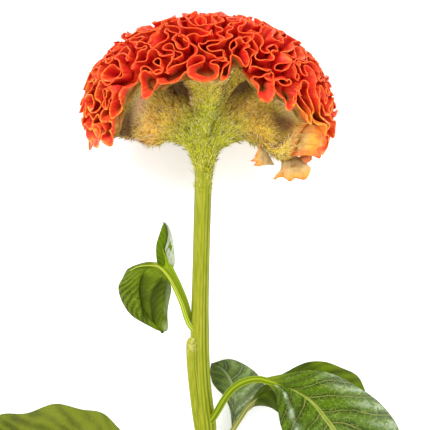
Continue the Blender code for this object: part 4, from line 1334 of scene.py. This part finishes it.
# Frills: three thin loose bits of the crest's own edge, peach with a redder rim. They have grown on
# down from the crest and hang under the right side of the fan, held by their upper edges.
FRILL_THICKNESS = 0.45
FRILL_STEPS = 30
FRILL_SIDES = 16


def petal_skin_group():
    """Thin petal tissue over its own colours: a red rim, then streaks and creamy clouds of painted highlight.
    """
    inputs = {"Float": ("Redness", "Streaks", "Clouds"), "Color": ("Tissue",)}
    tree, paint, given, result = new_group("petal_skin", inputs, {"Color": ("Colour",)})
    tissue = paint.mix(paint.times(given["Redness"], 0.9), given["Tissue"], (0.80, 0.12, 0.018))
    streak = paint.times(paint.between(given["Streaks"], 0.48, 0.66), 0.55)
    tissue = paint.mix(streak, tissue, (0.52, 0.17, 0.05))
    # Painted highlight: creamy clouds over the tissue.
    cream_highlight = paint.times(paint.between(given["Clouds"], 0.5, 0.75), 0.3)
    paint.put(result["Colour"], paint.mix(cream_highlight, tissue, (0.80, 0.56, 0.30)))
    return tree


petal_skin = petal_skin_group()


def petal_material(name, grain, *stops):
    """Petal tissue with these colours from foot to rim. The grain stretches its streaks along each axis."""
    paint = Paint(name, 0.5)
    rise = paint.plus_times(paint.less(paint.noise(260), 0.5), 0.3, paint.layer("along"))
    streaks = paint.noise(900, grain)
    given = {"Tissue": paint.ramp(rise, *stops), "Redness": paint.layer("redness")}
    given |= {"Streaks": streaks, "Clouds": paint.noise(240, (1, 0.4, 0.6))}
    paint.colour(paint.group(petal_skin, given)[0])
    paint.bump(streaks, 0.0008)
    return paint.material


peach = petal_material(
    "frill_tissue",
    (1, 0.16, 0.5),
    (0.0, (0.24, 0.21, 0.06)),
    (0.25, (0.42, 0.30, 0.12)),
    (0.6, (0.60, 0.37, 0.12)),
    (0.85, (0.74, 0.34, 0.04)),
    (1.0, (0.82, 0.20, 0.015)),
)
golden = petal_material(
    "golden_tissue",
    (0.2, 1, 0.5),
    (0.0, (0.38, 0.27, 0.06)),
    (0.3, (0.58, 0.36, 0.10)),
    (0.6, (0.78, 0.38, 0.04)),
    (0.88, (0.84, 0.26, 0.02)),
    (0.97, (0.84, 0.10, 0.015)),
)


def add_frill(name, node, material, rib, left, right, bulge, wave, ruffle, redness, fingers=0.0):
    """A frill like the leaves' blades. Its rim, at the ribs' ends, is ruffled, and may part in fingers."""
    bm = bmesh.new()
    bmesh.ops.create_grid(bm, x_segments=FRILL_STEPS, y_segments=2 * FRILL_SIDES, size=1)
    flat = places(bm)
    u, v = (flat[:, 0] + 1) / 2, flat[:, 1]
    reach = 1 - fingers * (0.5 - 0.5 * np.cos(3 * np.pi * v + 0.4)) - 0.05 * (0.5 - 0.5 * np.cos(5 * v + 1))
    points, normal = blade_places((rib, left, right), bulge, wave, u * reach, v, 1 + 0 * u)
    points += normal * (ruffle * u**2 * np.sin(7 * v + 1.5 * u) + 0.3 * waves(points, 3.5, 61))[:, None]
    move(bm.verts, points)
    set_layer(bm, "along", u)
    set_layer(bm, "redness", redness(u, v))
    bmesh.ops.solidify(bm, geom=bm.faces[:], thickness=FRILL_THICKNESS)
    bmesh.ops.recalc_face_normals(bm, faces=bm.faces)
    finished(bm, name, material, node)


add_frill(
    "frill_lower_petal", "frill_lower", peach,
    rib=((41.3, 3.8, 4), (42, 0.5, 5.6), (42, -2.4, 6.4), (41.5, -5.3, 6.4), (40.8, -7.2, 5.4)),
    left=((37, 3.8, 4.2), (36.9, 0.2, 5.4), (36.5, -2.4, 5.8), (34.3, -4.6, 6.2), (32.9, -6.3, 6.8)),
    right=((47.5, 3.8, 3.4), (49, 0.7, 4.6), (51, -1.4, 5.6), (50.6, -3.8, 6), (48.5, -6.5, 6.6)),
    bulge=(0.6, 0.6), wave=(0.5, 0.8, 0.0), ruffle=1.5,
    redness=lambda u, v: 0.6 * after(u, 0.93, 0.07),
)
add_frill(
    "frill_outer_petal", "frill_outer", peach,
    rib=((48, 5.8, 5.6), (49, 3.8, 6.6), (49.9, 2.4, 7), (50.4, 1.4, 6.8)),
    left=((45.6, 4.8, 5.8), (46.8, 2.6, 6.8), (48, 1.2, 7.2), (49.1, 0.5, 7)),
    right=((50.4, 6.5, 5.2), (51.4, 4.8, 6.2), (51.6, 3.4, 6.6), (51.5, 2.1, 6.6)),
    bulge=(0.3, 0.3), wave=(0.0, 1, 0.0), ruffle=0.3,
    redness=lambda u, v: 0.5 + 0.5 * u,
)
add_frill(
    "frill_inner_petal", "frill_inner", peach,
    rib=((30.7, 5.3, 8), (28.6, 3.8, 9), (26.4, 3.1, 9.6), (24.2, 2.6, 9.6), (22.1, 2.1, 9.2)),
    left=((27.8, 10.3, 9), (26.6, 9.4, 10), (25.9, 7.9, 10.4), (25.2, 6.2, 10.2), (24.6, 4.6, 9.6)),
    right=((33.6, -0.2, 6.2), (31.2, 0, 7.4), (29, -0.2, 8.2), (26.4, -0.7, 8.4), (24, -1.2, 8.2)),
    bulge=(0.3, 0.3), wave=(0.0, 1, 0.0), ruffle=0.5, fingers=0.22,
    redness=lambda u, v: np.minimum(after(u, 0.85, 0.15) + after(v, 0.85, 0.15), 1),
)

# The crest's right end: one smooth golden fold of the comb's own tissue, which has not ruffled. It
# hangs over the fan's right lobe, and its foot is sunk in the fan.
add_frill(
    "comb_end_fold", "comb", golden,
    rib=((44, 11, 7.5), (48.5, 11.5, 12.6), (53, 11, 12), (58.3, 10.3, 8)),
    left=((41.5, 3.8, 7.0), (46, 4.2, 11.6), (50.5, 4.4, 11), (55.2, 2.9, 8)),
    right=((46.5, 19.5, 9.0), (50.5, 19.3, 13.2), (54.5, 18.8, 12.5), (58, 18.2, 10)),
    bulge=(0.4, 0.8), wave=(0.8, 1.8, 1.0), ruffle=1.1,
    redness=lambda u, v: before(v, -0.3, 0.7, 0.4) + after(v, 0.45, 0.45, 0.7) + after(u, 0.92, 0.05, 0.5),
)
